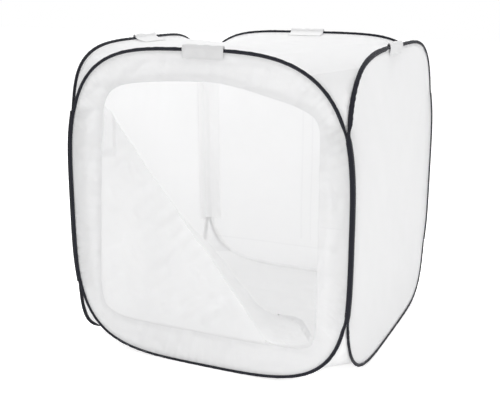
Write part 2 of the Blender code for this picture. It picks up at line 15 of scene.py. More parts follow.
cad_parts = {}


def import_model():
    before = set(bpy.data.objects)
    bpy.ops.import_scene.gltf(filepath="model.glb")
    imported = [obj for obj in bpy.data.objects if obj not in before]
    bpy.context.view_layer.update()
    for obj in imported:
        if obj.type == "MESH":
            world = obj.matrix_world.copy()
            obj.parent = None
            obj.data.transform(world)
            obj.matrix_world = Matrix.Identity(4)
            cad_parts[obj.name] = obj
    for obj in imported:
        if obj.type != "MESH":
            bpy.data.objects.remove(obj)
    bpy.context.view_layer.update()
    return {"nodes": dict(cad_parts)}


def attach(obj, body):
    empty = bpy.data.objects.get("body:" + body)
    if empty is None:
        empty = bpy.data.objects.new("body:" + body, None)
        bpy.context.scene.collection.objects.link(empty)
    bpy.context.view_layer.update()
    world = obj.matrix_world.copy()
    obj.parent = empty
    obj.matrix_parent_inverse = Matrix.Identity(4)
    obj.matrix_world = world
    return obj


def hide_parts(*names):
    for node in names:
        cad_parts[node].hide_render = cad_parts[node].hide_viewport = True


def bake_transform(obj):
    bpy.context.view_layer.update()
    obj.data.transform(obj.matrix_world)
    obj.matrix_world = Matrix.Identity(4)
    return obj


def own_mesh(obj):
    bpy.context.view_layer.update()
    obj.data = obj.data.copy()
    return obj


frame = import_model()


# Sizes shared with the part's source, in metres
SPAN, HEIGHT = 0.750, 0.780
CLOTH, GAP = 0.0008, 0.0003
SEAM = CLOTH + GAP
ACROSS, DEEP = 0.0062, 0.0082
CORNER_NEST = 0.0010
SETBACK = DEEP / 2 + ACROSS / 2 - CORNER_NEST
HALF_W, HALF_H, MIDDLE = SPAN / 2 - SETBACK, (HEIGHT - DEEP) / 2, HEIGHT / 2
FACE_BACK = ACROSS / 2 + GAP + CLOTH / 2
SEAM_RISE, TOP_SAG = -0.0052, 0.016
TAB_W, TAB_DROP, TAB_REACH, TAB_RISE = 0.104, 0.0245, 0.034, 0.0065
TAB_SHARE = {"front": 0.037, "right": -0.195, "back": 0.056, "left": 0.155}
STRIP_LEG, STRIP_TURN, STRIP_LAP = 0.052, 0.012, 0.012
WIN_LEFT_TOP, WIN_LEFT_LOW, WIN_RIGHT = SPAN / 2 - 0.113, SPAN / 2 - 0.077, SPAN / 2 - 0.081
WIN_TOP, WIN_LOW = HEIGHT - 0.0755, 0.090
WIN_DROP_LEFT, WIN_DROP_RIGHT, WIN_DROP_POWER = 0.022, 0.068, 1.5
WIN_SQUARE_LEFT, WIN_SQUARE_RIGHT = 9, 14
COVER_LAP, COVER_BACK, HEM = 0.012, 0.0020, 0.018
JOINED_RUN = 0.45


def in_window(wide, tall):
    """A place on the front wall, by shares of the window's width and height."""
    return wide * (WIN_LEFT_LOW + WIN_RIGHT) - WIN_LEFT_LOW, WIN_LOW + tall * (WIN_TOP - WIN_LOW)


# The cover's fold, and its loose hem by shares of the window's width, the tent's depth and the height
FOLD_HIGH, FOLD_LOW = in_window(0.074, 0.866), in_window(0.779, 0.019)
FOLD_ROUTE = [tuple(a + (b - a) * share for a, b in zip(FOLD_HIGH, FOLD_LOW)) for share in (0, 1 / 3, 2 / 3, 1)]
FOLD_ROUTE.append(in_window(0.983, 0.006))
FOLD_RUN = (np.array(FOLD_LOW) - np.array(FOLD_HIGH)) / math.dist(FOLD_LOW, FOLD_HIGH)
FOLD_NORMAL = np.array([-FOLD_RUN[1], FOLD_RUN[0]])
HEM_SHARES = (
    (0.250, 0.153, 0.008), (0.436, 0.227, -0.078), (0.605, 0.207, -0.052),
    (0.740, 0.163, 0.029), (0.882, 0.109, 0.068), (0.976, 0.032, 0.036),
)
HEM_ROUTE = [(in_window(wide, tall)[0], inwards * SPAN, in_window(wide, tall)[1])
             for wide, inwards, tall in HEM_SHARES]
WALLS = ("front", "right", "back", "left")
# How far out on its diagonal each quarter of a loop reaches, as a share of its half sizes. Seen from outside:
# upper right, upper left, lower left, lower right
REACH = {
    "front": (0.805, 0.824, 0.839, 0.850),
    "right": (0.827, 0.872, 0.857, 0.881),
    "back": (0.863, 0.858, 0.870, 0.848),
    "left": (0.878, 0.815, 0.850, 0.910),
}
# How far a wall's top and bottom bow out, as a share of SPAN
BOW = {"front": 0.008, "right": -0.004, "back": 0.004, "left": -0.055}
# Where its gussets end along its top and bottom, and how far up and down neighbours are joined, in half sizes
CREASE = {"front": 0.70, "right": 0.80, "back": 0.76, "left": 0.80}
JOIN, JOIN_SOFT = 0.58, 0.03
ORDER = {(1, 1): 0, (-1, 1): 1, (-1, -1): 2, (1, -1): 3}
CORNERS = (
    ("front_right", "front", "right"),
    ("back_right", "right", "back"),
    ("back_left", "back", "left"),
    ("front_left", "left", "front"),
)
OPENED_CORNER = "back_left"


# The loops and the walls' surfaces


def power(wall, side, up):
    return math.log(2) / -math.log(REACH[wall][ORDER[side, up]])


def neighbour(wall, side):
    return WALLS[(WALLS.index(wall) + side) % 4]


def inset(wall, side, level):
    """How far a loop's side is drawn in at each height, levelling off where the neighbours part."""
    level = np.asarray(level, float)
    size = JOIN - JOIN_SOFT * np.log1p(np.exp(np.clip((JOIN - np.abs(level)) / JOIN_SOFT, -50, 50)))
    size = np.clip(size, 0, 0.99)
    made = np.zeros_like(level)
    for up in (1, -1):
        p = power(wall, side, up)
        part = HALF_W * (1 - (1 - size ** p) ** (1 / p))
        made = np.where((level >= 0) == (up > 0), part, made)
    return made


def offset(wall, x, y):
    """How far out a wall's surface lies at places on it."""
    x, y = np.asarray(x, float), np.asarray(y, float)
    level = (y - MIDDLE) / HALF_H
    total = np.zeros(np.broadcast(x, y).shape)
    for side in (1, -1):
        across = np.minimum(1.0, np.abs(x) / (HALF_W - inset(wall, side, level)))
        bow = BOW[wall] * SPAN * level ** 2 * (1 - across ** 2)
        part = bow - inset(neighbour(wall, side), -side, level) * across ** 2
        total = np.where((x >= 0) == (side > 0), part, total)
    return total


def world(wall, x, y, z):
    turn = WALLS.index(wall) * math.pi / 2
    x, y, z = np.broadcast_arrays(x, y, z)
    out = SPAN / 2 + z
    return np.stack([x * math.cos(turn) + out * math.sin(turn), x * math.sin(turn) - out * math.cos(turn), y], -1)


def on_wall(wall, x, y, out=0.0):
    return world(wall, x, y, offset(wall, x, y) + out)


def loop_points(wall, side, up, angles):
    """Points and outward directions of a quarter of the loop, from its side to its top or bottom."""
    p = power(wall, side, up)
    across = np.clip(np.cos(angles), 0, 1) ** (2 / p)
    level = np.clip(np.sin(angles), 0, 1) ** (2 / p)
    points = np.stack([side * HALF_W * across, MIDDLE + up * HALF_H * level], -1)
    return points, unit(np.stack([side * across ** (p - 1) / HALF_W, up * level ** (p - 1) / HALF_H], -1))


def level_angle(wall, side, up, level):
    return np.arcsin(level ** (power(wall, side, up) / 2))


def across_angle(wall, side, up, across):
    return math.acos(across ** (power(wall, side, up) / 2))


def unit(vectors):
    return vectors / np.linalg.norm(vectors, axis=-1, keepdims=True)


def arc_lengths(points):
    return np.concatenate([[0], np.cumsum(np.linalg.norm(np.diff(points, axis=0), axis=1))])


def resample(points, count, closed=False):
    if closed:
        points = np.concatenate([points, points[:1]])
    arc = arc_lengths(points)
    at = np.linspace(0, arc[-1], count, endpoint=not closed)
    return np.stack([np.interp(at, arc, points[:, i]) for i in range(points.shape[1])], -1), at


LOOP_FINE = 1500


@functools.cache
def loop(wall, count):
    """Even points round a loop, their outward directions and their distance from the top's middle."""
    fine = np.linspace(0, math.pi / 2, LOOP_FINE)
    quarters = ((1, 1, -1), (1, -1, 1), (-1, -1, -1), (-1, 1, 1))
    parts = [loop_points(wall, side, up, fine[::turn])[0][:-1] for side, up, turn in quarters]
    even, arc = resample(np.concatenate(parts), count, closed=True)
    ahead = np.roll(even, -1, 0) - np.roll(even, 1, 0)
    return even, unit(np.stack([-ahead[:, 1], ahead[:, 0]], -1)), arc


def run_of(kept):
    """The kept places of a closed line, in order from the first one after a gap."""
    first = int(np.argmax(kept & ~np.roll(kept, 1)))
    order = (first + np.arange(len(kept))) % len(kept)
    return order[kept[order]]


def spline(points, count):
    """A smooth curve through points."""
    points = np.asarray(points, float)
    padded = np.concatenate([2 * points[:1] - points[1:2], points, 2 * points[-1:] - points[-2:-1]])
    place = np.linspace(0, len(points) - 1, count)
    index = np.minimum(place.astype(int), len(points) - 2)
    t = (place - index)[:, None]
    a, b, c, d = (padded[index + step] for step in range(4))
    return 0.5 * (2 * b + (c - a) * t + (2 * a - 5 * b + 4 * c - d) * t ** 2 + (3 * b - a - 3 * c + d) * t ** 3)


def along(route, share):
    """Points on the source's smooth curve through a route, at shares of its steps."""
    route = np.asarray(route, float)
    place = np.asarray(share) * (len(route) - 1)
    index = np.minimum(place.astype(int), len(route) - 2)
    t = (place - index)[:, None]
    before, start, end, after = (route[np.clip(index + step, 0, len(route) - 1)] for step in (-1, 0, 1, 2))
    leave, arrive = (end - before) / 2, (after - start) / 2
    ease = t * t * (3 - 2 * t)
    return start + (end - start) * ease + leave * t * (1 - t) ** 2 - arrive * t ** 2 * (1 - t)


# Folds and puckers

# The first seed of each kind of piece, and the step from wall to wall
SEEDS = {"wall": (7, 50), "binding": (400, 31), "tab": (900, 17), "strip": (60, 1), "gusset": (80, 2)}
# How far from its seam each cloth's folds start, and how far they are whole
FADES = {"wall": (0.004, 0.12), "border": (0.004, 0.03), "cover": (0.004, 0.05), "top": (0.006, 0.12),
         "floor": (0.006, 0.09)}
CREASE_ENDS = 0.35
PUCKER_PITCH, PUCKER_FINE, PUCKER_START, PUCKER_FULL = 0.021, 0.0125, 0.002, 0.007
# How the puckers drift along a seam and come and go: (size, rate)
PUCKER_DRIFT, PUCKER_CHANGE = ((2.2, 9), (1.7, 23)), (0.45, 13)


def seed_of(kind, wall):
    first, step = SEEDS[kind]
    return first + WALLS.index(wall) * step


def waves(seed, u, v, pitch, count):
    """Smooth, seeded unevenness of about unit size."""
    random = np.random.default_rng(seed)
    total = 0
    for _ in range(count):
        turn = random.uniform(-math.pi, math.pi)
        rate = 2 * math.pi / pitch * random.uniform(0.6, 1.5)
        total = total + np.sin(rate * (u * math.cos(turn) + v * math.sin(turn)) + random.uniform(0, 2 * math.pi))
    return total / math.sqrt(count / 2)


def smooth(low, high, value):
    t = np.clip((value - low) / (high - low), 0, 1)
    return t * t * (3 - 2 * t)


def crease(u, v, start, end, width, height):
    """A ridge along a line from start to end, dying away at both ends."""
    start, end = np.array(start), np.array(end)
    length = np.linalg.norm(end - start)
    run = (end - start) / length
    forward = (u - start[0]) * run[0] + (v - start[1]) * run[1]
    off = -(u - start[0]) * run[1] + (v - start[1]) * run[0]
    ends = CREASE_ENDS * length
    return height * smooth(0, ends, forward) * smooth(0, ends, length - forward) * np.exp(-(off / width) ** 2)


def slack(x, y, sets, creases, scale=1.0):
    """Waves, each (size, seed, pitch, count), and creases, each (from x, y, to x, y, width, height)."""
    total = sum(size * waves(seed, x, y, pitch, count) for size, seed, pitch, count in sets)
    for from_x, from_y, to_x, to_y, width, height in creases:
        total = total + crease(x, y, (from_x, from_y), (to_x, to_y), width, scale * height)
    return total


def puckers(seed, arc, depth, size=0.0009, fade=0.022):
    """Small gathers that run in from a sewn edge."""
    random = np.random.default_rng(seed)
    phase = sum(drift * np.sin(arc * rate + random.uniform(0, 6)) for drift, rate in PUCKER_DRIFT)
    change, rate = PUCKER_CHANGE
    strength = 1 - change + change * np.sin(arc * rate + random.uniform(0, 6))
    wave = np.sin(2 * math.pi * arc / PUCKER_PITCH + phase) + 0.5 * np.sin(2 * math.pi * arc / PUCKER_FINE - phase)
    return size * strength * wave * np.exp(-depth / fade) * smooth(PUCKER_START, PUCKER_FULL, depth)


# Mesh making


def mapped(first, second):
    """Places on a map, from distances along and across it."""
    return np.stack(np.broadcast_arrays(first, second), -1)


def add(name, data):
    obj = bpy.data.objects.new(name, data)
    bpy.context.scene.collection.objects.link(obj)
    return obj


def build(name, grid, lay, edge=None, closed=False, centre=None):
    """A smooth mesh through rows of points, with a map of metres along and across it.

    A closed grid runs round. centre is a last point that it closes on, with that point's place on the map."""
    grid, lay = np.asarray(grid), np.asarray(lay)
    rows, columns = grid.shape[:2]
    points, maps = grid.reshape(-1, 3), {"lay": lay.reshape(-1, 2)}
    if edge is not None:
        maps["edge"] = np.asarray(edge).reshape(-1, 2)
    faces = []
    for start in range(0, (rows - 1) * columns, columns):
        for c in range(columns if closed else columns - 1):
            a, b = start + c, start + (c + 1) % columns
            faces.append((a, b, b + columns, a + columns))
    if centre is not None:
        start = (rows - 1) * columns
        faces += [(start + c, start + (c + 1) % columns, len(points)) for c in range(columns)]
        points = np.concatenate([points, np.reshape(centre[0], (1, 3))])
        maps["lay"] = np.concatenate([maps["lay"], np.reshape(centre[1], (1, 2))])
        maps["edge"] = np.concatenate([maps["edge"], maps["edge"][-1:]])
    mesh = bpy.data.meshes.new(name)
    mesh.from_pydata(points.tolist(), [], faces)
    corners = np.array([i for face in faces for i in face])
    for label, values in maps.items():
        mesh.uv_layers.new(name=label).data.foreach_set("uv", values[corners].astype(np.float32).ravel())
    mesh.shade_smooth()
    return add(name, mesh)


def ribbon(name, wall, line, ways, arc, profile, folds):
    """A strip of cloth round a closed line on a wall, by its profile: (distance across, outwards)."""
    rows, lay = [], []
    for across, out in profile:
        x, y = (line + ways * across).T
        rows.append(on_wall(wall, x, y, folds(x, y, across) + out))
        lay.append(mapped(arc, across))
    return build(name, rows, lay, closed=True)


def coat(obj, look):
    obj.data.materials.clear()
    obj.data.materials.append(look)


def dress(obj, look, node=None):
    coat(obj, look)
    if node:
        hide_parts(node)
    return obj


def fit(obj, body, rests_on, flat, held, squash=None, **area):
    """Let a sheet ride its body, with a mesh of its own where it is given a squash."""
    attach(obj, body)
    if squash:
        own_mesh(obj)


def thicken(obj, thickness):
    skin = obj.modifiers.new("thickness", "SOLIDIFY")
    skin.thickness = thickness
    skin.offset = 0.0


# Materials


class Nodes:
    """A node tree, built up step by step."""

    def __init__(self, tree):
        self.tree = tree

    def node(self, kind, **values):
        made = self.tree.nodes.new(kind)
        for key, value in values.items():
            setattr(made, key, value)
        return made

    def put(self, socket, value):
        if isinstance(value, bpy.types.NodeSocket):
            self.tree.links.new(value, socket)
        else:
            socket.default_value = value

    def fill(self, node, **values):
        """Set a node's sockets by their names, with an underscore for each space."""
        for name, value in values.items():
            self.put(node.inputs[name.replace("_", " ")], value)
        return node

    def math(self, operation, *values):
        made = self.node("ShaderNodeMath", operation=operation)
        for socket, value in zip(made.inputs, values):
            self.put(socket, value)
        return made.outputs[0]

    def times(self, a, b):
        return self.math("MULTIPLY", a, b)


class Look(Nodes):
    """A node material round one Principled shader."""

    def __init__(self, name):
        self.material = bpy.data.materials.new(name)
        self.material.use_nodes = True
        super().__init__(self.material.node_tree)
        self.shader = self.tree.nodes["Principled BSDF"]
        self.output = self.tree.nodes["Material Output"]

    def map(self, label):
        """A map's place, and its distances along and across."""
        source = self.node("ShaderNodeUVMap", uv_map=label).outputs[0]
        split = self.fill(self.node("ShaderNodeSeparateXYZ"), Vector=source)
        return source, split.outputs[0], split.outputs[1]

    def noise(self, place, scale, detail=3.0, rough=0.5, stretch=None):
        if stretch:
            place = self.fill(self.node("ShaderNodeMapping"), Vector=place, Scale=stretch).outputs[0]
        made = self.node("ShaderNodeTexNoise")
        return self.fill(made, Vector=place, Scale=scale, Detail=detail, Roughness=rough).outputs["Fac"]

    def ribs(self, along_it, pitch):
        return self.math("SINE", self.times(along_it, 2 * math.pi / pitch))

    def band(self, value, at, width):
        """1 within half a width of a line, 0 elsewhere, with soft edges."""
        off = self.math("ABSOLUTE", self.math("SUBTRACT", value, at))
        ramp = self.node("ShaderNodeMapRange", interpolation_type="SMOOTHSTEP")
        self.fill(ramp, Value=off, From_Min=width * 0.35, From_Max=width * 0.65, To_Min=1.0, To_Max=0.0)
        return ramp.outputs[0]

    def stitches(self, u, v, at, width=0.0009, pitch=0.0034):
        """A row of stitches along u at a distance across."""
        turn = self.math("FRACT", self.math("DIVIDE", u, pitch))
        thread = self.math("LESS_THAN", self.math("ABSOLUTE", self.math("SUBTRACT", turn, 0.5)), 0.33)
        return self.times(self.band(v, at, width), thread)

    def mix(self, colour, mask, other, kind="MIX"):
        made = self.node("ShaderNodeMix", data_type="RGBA", blend_type=kind)
        self.put(made.inputs[0], mask)
        self.put(made.inputs[6], (*colour, 1.0) if isinstance(colour, tuple) else colour)
        self.put(made.inputs[7], (*other, 1.0))
        return made.outputs[2]

    def tint(self, colour, shades):
        """The base colour, multiplied by each (mask, factor)."""
        for mask, factor in shades:
            colour = self.mix(colour, mask, factor, "MULTIPLY")
        self.fill(self.shader, Base_Color=colour)
        return colour

    def bump(self, heights, distance, strength):
        total = heights[0]
        for height in heights[1:]:
            total = self.math("ADD", total, height)
        made = self.fill(self.node("ShaderNodeBump"), Strength=strength, Distance=distance, Height=total)
        self.fill(self.shader, Normal=made.outputs[0])
        return made.outputs[0]

    def join(self, joiner, second):
        """Mix or add a second shader to the first, into the output."""
        self.put(joiner.inputs[-2], self.shader.outputs[0])
        self.put(joiner.inputs[-1], second.outputs[0])
        self.fill(self.output, Surface=joiner.outputs[0])

    def through(self, share, colour, normal):
        """Let a share of the light through, as thin cloth does."""
        thin = self.fill(self.node("ShaderNodeBsdfTranslucent"), Color=colour, Normal=normal)
        self.join(self.fill(self.node("ShaderNodeMixShader"), Fac=share), thin)


def grey(level, blue=0.0):
    """A grey, a little bluer by blue."""
    return level, level, level + blue


# Noise scales a metre, pitches and widths in metres, and how deep each look's bumps are
CRUMPLE_SCALE, FINE_SCALE, BROAD_SCALE, LINT_SCALE, WEAR_SCALE = 38.0, 190.0, 5.0, 420.0, 16.0
FUZZ_SCALE, TUFT_SCALE, DRAWN_SCALE, PATCH_SCALE = 900.0, 620.0, 300.0, 30.0
WEAVE_PITCH, RIB_PITCH = 0.0011, 0.0009
DENT_WIDTH, TAPE_DENT_WIDTH = 0.0030, 0.0022
CLOTH_BUMP, TAPE_BUMP, PILE_BUMP, STEEL_BUMP = 0.0011, 0.0006, 0.0009, 0.0002
TAPE_COLOUR, LINT_COLOUR, WORN_COLOUR = (0.0085, 0.0088, 0.0135), (0.018, 0.019, 0.028), (0.015, 0.016, 0.025)
THREAD_COLOUR, STEEL_COLOUR, FERRULE_COLOUR = (0.034, 0.036, 0.050), (0.42, 0.43, 0.45), (0.55, 0.55, 0.53)


def cloth(name, colour, through=0.5, crumple=0.6, mottle=1.0, seams=(), lines=()):
    """White woven nylon: weave, fine crumpling, faint unevenness, and any rows of stitches.

    seams are the distances of stitch rows from an edge; lines are (axis, place, width, low, high) of
    seam ridges across a cloth, each between two places along it."""
    look = Look(name)
    place, u, v = look.map("lay")
    weave = look.math("MULTIPLY_ADD", look.times(look.ribs(u, WEAVE_PITCH), look.ribs(v, WEAVE_PITCH)), 0.5, 0.5)
    crumples = look.noise(place, CRUMPLE_SCALE, 4.0, 0.55)
    fine, broad = look.noise(place, FINE_SCALE, 2.0), look.noise(place, BROAD_SCALE, 2.0)
    heights = [look.times(weave, 0.10), look.times(crumples, crumple), look.times(fine, 0.12)]
    tints = [(look.times(broad, mottle), grey(0.973, 0.001)), (look.times(fine, 0.5 * mottle), grey(0.97, 0.001)),
             (look.times(weave, 0.35 * mottle), grey(0.965, 0.001))]
    for at in seams:
        _, run, out = look.map("edge")
        thread, dent = look.stitches(run, out, at), look.band(out, at, DENT_WIDTH)
        # the dent along each row of stitches is tinted a little darker as well as sunk: painted shade
        tints += [(thread, grey(0.970, 0.003)), (dent, grey(0.993, 0.001))]
        heights += [look.times(thread, 0.25), look.times(dent, -0.2)]
    for axis, at, width, low, high in lines:
        across, run = (u, v) if axis == "u" else (v, u)
        held = look.times(look.math("GREATER_THAN", run, low), look.math("LESS_THAN", run, high))
        mask = look.times(look.band(across, at, width), held)
        tints.append((mask, grey(0.974, 0.002)))
        heights.append(look.times(mask, -0.18))
    base = look.tint(colour, tints)
    normal = look.bump(heights, CLOTH_BUMP, 0.8)
    look.fill(look.shader, Roughness=0.75, Specular_IOR_Level=0.30, Sheen_Weight=0.05, Sheen_Roughness=0.45)
    look.through(through, base, normal)
    return look.material


def tape(name, rows):
    """Dark grosgrain tape: fine ribs across it, lint and wear, and rows of stitches along it."""
    look = Look(name)
    place, u, v = look.map("lay")
    ribs = look.math("MULTIPLY_ADD", look.ribs(u, RIB_PITCH), 0.5, 0.5)
    lint, wear = look.noise(place, LINT_SCALE, 3.0, 0.6), look.noise(place, WEAR_SCALE, 4.0, 0.6)
    heights = [look.times(ribs, 0.35), look.times(lint, 0.5)]
    colour = look.mix(TAPE_COLOUR, look.times(lint, 0.55), LINT_COLOUR)
    colour = look.mix(colour, look.times(wear, 0.5), WORN_COLOUR)
    for at in rows:
        thread, dent = look.stitches(u, v, at, 0.0008, 0.0031), look.band(v, at, TAPE_DENT_WIDTH)
        colour = look.mix(colour, thread, THREAD_COLOUR)
        heights += [look.times(thread, 0.8), look.times(dent, -1.0)]
    look.bump(heights, TAPE_BUMP, 0.8)
    look.fill(look.shader, Base_Color=colour, Roughness=0.82, Specular_IOR_Level=0.25,
              Sheen_Weight=0.10, Sheen_Roughness=0.5)
    return look.material


def pile(name, colour, through):
    """Hook and loop tape: a fuzzy field."""
    look = Look(name)
    place, _, _ = look.map("lay")
    fuzz = look.noise(place, FUZZ_SCALE, 3.0, 0.7)
    tufts = look.fill(look.node("ShaderNodeTexVoronoi"), Vector=place, Scale=TUFT_SCALE).outputs["Distance"]
    base = look.tint(colour, [(fuzz, grey(0.95, 0.005)), (tufts, grey(0.96))])
    normal = look.bump([fuzz, tufts], PILE_BUMP, 0.9)
    look.fill(look.shader, Roughness=0.95, Sheen_Weight=0.2, Sheen_Roughness=0.6)
    look.through(through, base, normal)
    return look.material


def metal(name, colour, rough):
    """Drawn steel: lines along it and a few darker patches."""
    look = Look(name)
    place = look.node("ShaderNodeTexCoord").outputs["Object"]
    lines = look.noise(place, DRAWN_SCALE, 3.0, 0.6, (1.0, 1.0, 12.0))
    patches = look.noise(place, PATCH_SCALE, 4.0, 0.6)
    look.tint(colour, [(look.times(lines, 0.5), grey(0.7, 0.02)), (look.times(patches, 0.6), grey(0.62, 0.04))])
    look.fill(look.shader, Roughness=look.math("MULTIPLY_ADD", patches, 0.25, rough - 0.12), Metallic=1.0)
    look.bump([lines], STEEL_BUMP, 0.4)
    return look.material


WHITE = grey(0.932, 0.002)
TAB_SEAM = 0.0028
LOOK_WALL = cloth("wall_cloth", WHITE)
LOOK_BACK = cloth("back_wall_cloth", WHITE, lines=(
    ("u", 0.028, 0.0060, 0.115, 0.745), ("u", -0.004, 0.0050, 0.115, 0.745), ("v", 0.090, 0.0050, -0.330, 0.330)))
# The border is a darker copy of the white cloth: painted shade that holds down the light it gets from inside the
# tent.
LOOK_FRONT = cloth("border_cloth", grey(0.890, 0.002), through=0.40, crumple=0.9, seams=(0.0015,),
                   lines=(("v", 0.395, 0.0030, 0.298, 0.352),))
LOOK_TOP = cloth("top_cloth", WHITE)
# The floor cloth is a lighter copy of the white cloth, with calmer mottle: painted light for the shade it lies in.
LOOK_FLOOR_PAINTED_LIGHT = cloth("floor_cloth", grey(0.990), through=0.04, crumple=0.9, mottle=0.4)
# The top gussets are a darker copy of the white cloth: painted shade in the creases between the loops.
LOOK_TOP_GUSSET_PAINTED_SHADE = cloth("gusset_cloth", grey(0.890, 0.002), through=0.3)
# The bottom gussets are a lighter copy, with calmer mottle: painted light against the shade from the bindings behind
# them.
LOOK_BOTTOM_GUSSET_PAINTED_LIGHT = cloth("low_gusset_cloth", grey(0.950, 0.001), through=0.3, mottle=0.6)
# The window's hem is a lighter copy of the border cloth it is turned back from: painted light in the fold along the
# window's edge.
LOOK_HEM_PAINTED_LIGHT = cloth("hem_cloth", grey(0.975, 0.001), through=0.85, mottle=0.5)
# The facing is lighter, with calmer mottle: painted light on the seam along the binding.
LOOK_FACING_PAINTED_LIGHT = cloth("facing_cloth", grey(0.985), through=0.05, mottle=0.4)
# The cover is a little lighter than the white cloth: painted light for the interior light the flap keeps from it.
LOOK_COVER_PAINTED_LIGHT = cloth("cover_cloth", grey(0.940, 0.001), crumple=1.0)
# The flap is a lighter copy of the white cloth, with calmer mottle: painted light for the shade it hangs in behind
# the border.
LOOK_FLAP_PAINTED_LIGHT = cloth("flap_cloth", grey(0.975, 0.001), mottle=0.6, crumple=1.0, seams=(0.0020, 0.0165))
# The corner strips are a lighter copy, with calmer mottle: painted light for the shade in the corners.
LOOK_STRIP_PAINTED_LIGHT = cloth("strip_cloth", grey(0.990), through=0.04, mottle=0.3, seams=(0.0025, 0.0965))
LOOK_TAB = cloth("tab_cloth", grey(0.920, 0.002), through=0.10, crumple=1.0, seams=(TAB_SEAM,))
# The front tab is a darker copy of the tab cloth: painted shade.
LOOK_FRONT_TAB_PAINTED_SHADE = cloth("front_tab_cloth", grey(0.805, 0.003), through=0.10, crumple=1.0, seams=(TAB_SEAM,))
LOOK_TAPE = tape("binding_tape", (0.0020, 0.0168))
LOOK_HINGE = tape("hinge_tape", (0.0016, 0.0110))


# Wall cloths

WALL_COLUMNS = 400
EDGE_DEPTHS = np.array([0.001, 0.004, 0.006, 0.008, 0.0105, 0.0135, 0.017, 0.021, 0.0255, 0.030])
INNER_SHARES = np.array([0.02, 0.045, 0.075, 0.11, 0.15, 0.195, 0.245, 0.30, 0.36, 0.42, 0.48, 0.54, 0.60, 0.66,
                         0.72, 0.78, 0.84, 0.90, 0.95, 0.985])
WALL_HOLLOW, WALL_HOLLOW_FROM, WALL_MIDDLE_DEPTH, WALL_INNER = 0.0045, 0.30, 0.35, 0.9
WALL_WAVES = ((0.0016, 1, 0.34, 6), (0.0004, 2, 0.09, 8))
WALL_CREASES = {
    "right": ((-0.33, 0.66, -0.05, 0.46, 0.030, 0.0025), (0.30, 0.12, 0.05, 0.34, 0.035, -0.0020),
              (-0.30, 0.10, -0.10, 0.22, 0.022, 0.0016), (0.31, 0.68, 0.16, 0.52, 0.020, 0.0016)),
    "back": ((-0.31, 0.68, 0.00, 0.44, 0.030, 0.0022), (0.31, 0.68, 0.10, 0.50, 0.026, -0.0020),
             (0.32, 0.14, 0.12, 0.30, 0.020, 0.0014)),
    "left": ((-0.32, 0.64, 0.04, 0.42, 0.032, 0.0025), (0.30, 0.66, 0.10, 0.50, 0.024, 0.0018),
             (-0.30, 0.12, 0.00, 0.30, 0.028, -0.0022)),
}


def wall_folds(wall, x, y, arc, depth):
    seed = seed_of("wall", wall)
    sets = [(size, seed + more, pitch, count) for size, more, pitch, count in WALL_WAVES]
    folds = smooth(*FADES["wall"], depth) * slack(x, y, sets, WALL_CREASES[wall])
    return puckers(seed, arc, depth) - WALL_HOLLOW * smooth(0.0, WALL_HOLLOW_FROM, depth) + folds


def make_wall(wall):
    even, outwards, arc = loop(wall, WALL_COLUMNS)
    rows = [even - outwards * depth for depth in EDGE_DEPTHS]
    centre, last = np.array([0.0, MIDDLE]), EDGE_DEPTHS[-1]
    flat = np.stack(rows + [rows[-1] + (centre - rows[-1]) * share for share in INNER_SHARES])
    inner = last + INNER_SHARES[:, None] * (np.linalg.norm(rows[-1] - centre, axis=1) - last) * WALL_INNER
    depth = np.concatenate([EDGE_DEPTHS[:, None] + 0 * arc, inner])
    x, y = flat[..., 0], flat[..., 1]
    middle = on_wall(wall, *centre, wall_folds(wall, *centre, 0.0, WALL_MIDDLE_DEPTH))
    made = build(wall + "_cloth", on_wall(wall, x, y, wall_folds(wall, x, y, arc, depth)), flat,
                 mapped(arc, depth), closed=True, centre=(middle, centre))
    dress(made, LOOK_BACK if wall == "back" else LOOK_WALL, wall + "_panel")
    fit(made, wall, wall + "_binding_tape", (2 * HALF_W, 2 * HALF_H), "stretched")


# Bindings

# The folded tape's section from its inner face round to its outer one: (outwards, across)
SECTION = np.array([
    (-0.50, 0.20), (-0.40, 0.25), (-0.27, 0.32), (-0.09, 0.42), (0.10, 0.50),
    (0.27, 0.47), (0.40, 0.36), (0.48, 0.17), (0.50, 0.00),
]) * (DEEP, ACROSS)
SECTION = np.concatenate([SECTION, SECTION[-2::-1] * (1, -1)])
PRESSED_DEEP, PRESSED_ACROSS, PRESSED_LOOSE, PRESSED_END, PRESSED_FULL = 0.34, 0.32, 0.1, 0.05, 0.03
BINDING_RIPPLE, BINDING_RISE, BINDING_LIP = 0.05, 0.00022, 0.10
BINDING_COLUMNS, TAB_GAP, INNER_FULLNESS = 720, 0.016, 1.1
BINDING_FLAT, FACING_FLAT = (0.0195, 2.75), (0.0112, 2.72)

# How much fuller the binding is round each loop: (place along it, as a turn from its right side; fullness)
FULLNESS = {
    "front": ((0, 1.00), (60, 0.98), (90, 1.15), (120, 0.90), (160, 1.35), (200, 1.60), (222, 0.90), (250, 0.65),
              (290, 0.85), (320, 1.08)),
    "right": ((0, 1.05), (60, 0.95), (100, 1.15), (125, 2.30), (150, 2.50), (180, 1.00), (215, 1.10), (270, 0.90),
              (330, 1.15), (345, 1.45)),
    "back": ((0, 1.00), (90, 0.90), (180, 1.00), (270, 1.00)),
    "left": ((0, 1.40), (45, 1.10), (90, 1.05), (180, 1.00), (270, 1.00), (325, 1.50)),
}


def pressing(wall, points):
    """1 where the sewing presses a binding flat: along the joined corners, least at the front left."""
    loose = {"front": points[:, 0] < 0, "left": points[:, 0] > 0}.get(wall, np.zeros(len(points), bool))
    joined_share = smooth(JOIN + PRESSED_END, JOIN - PRESSED_FULL, np.abs(points[:, 1] - MIDDLE) / HALF_H)
    return joined_share * np.where(loose, PRESSED_LOOSE, 1.0)


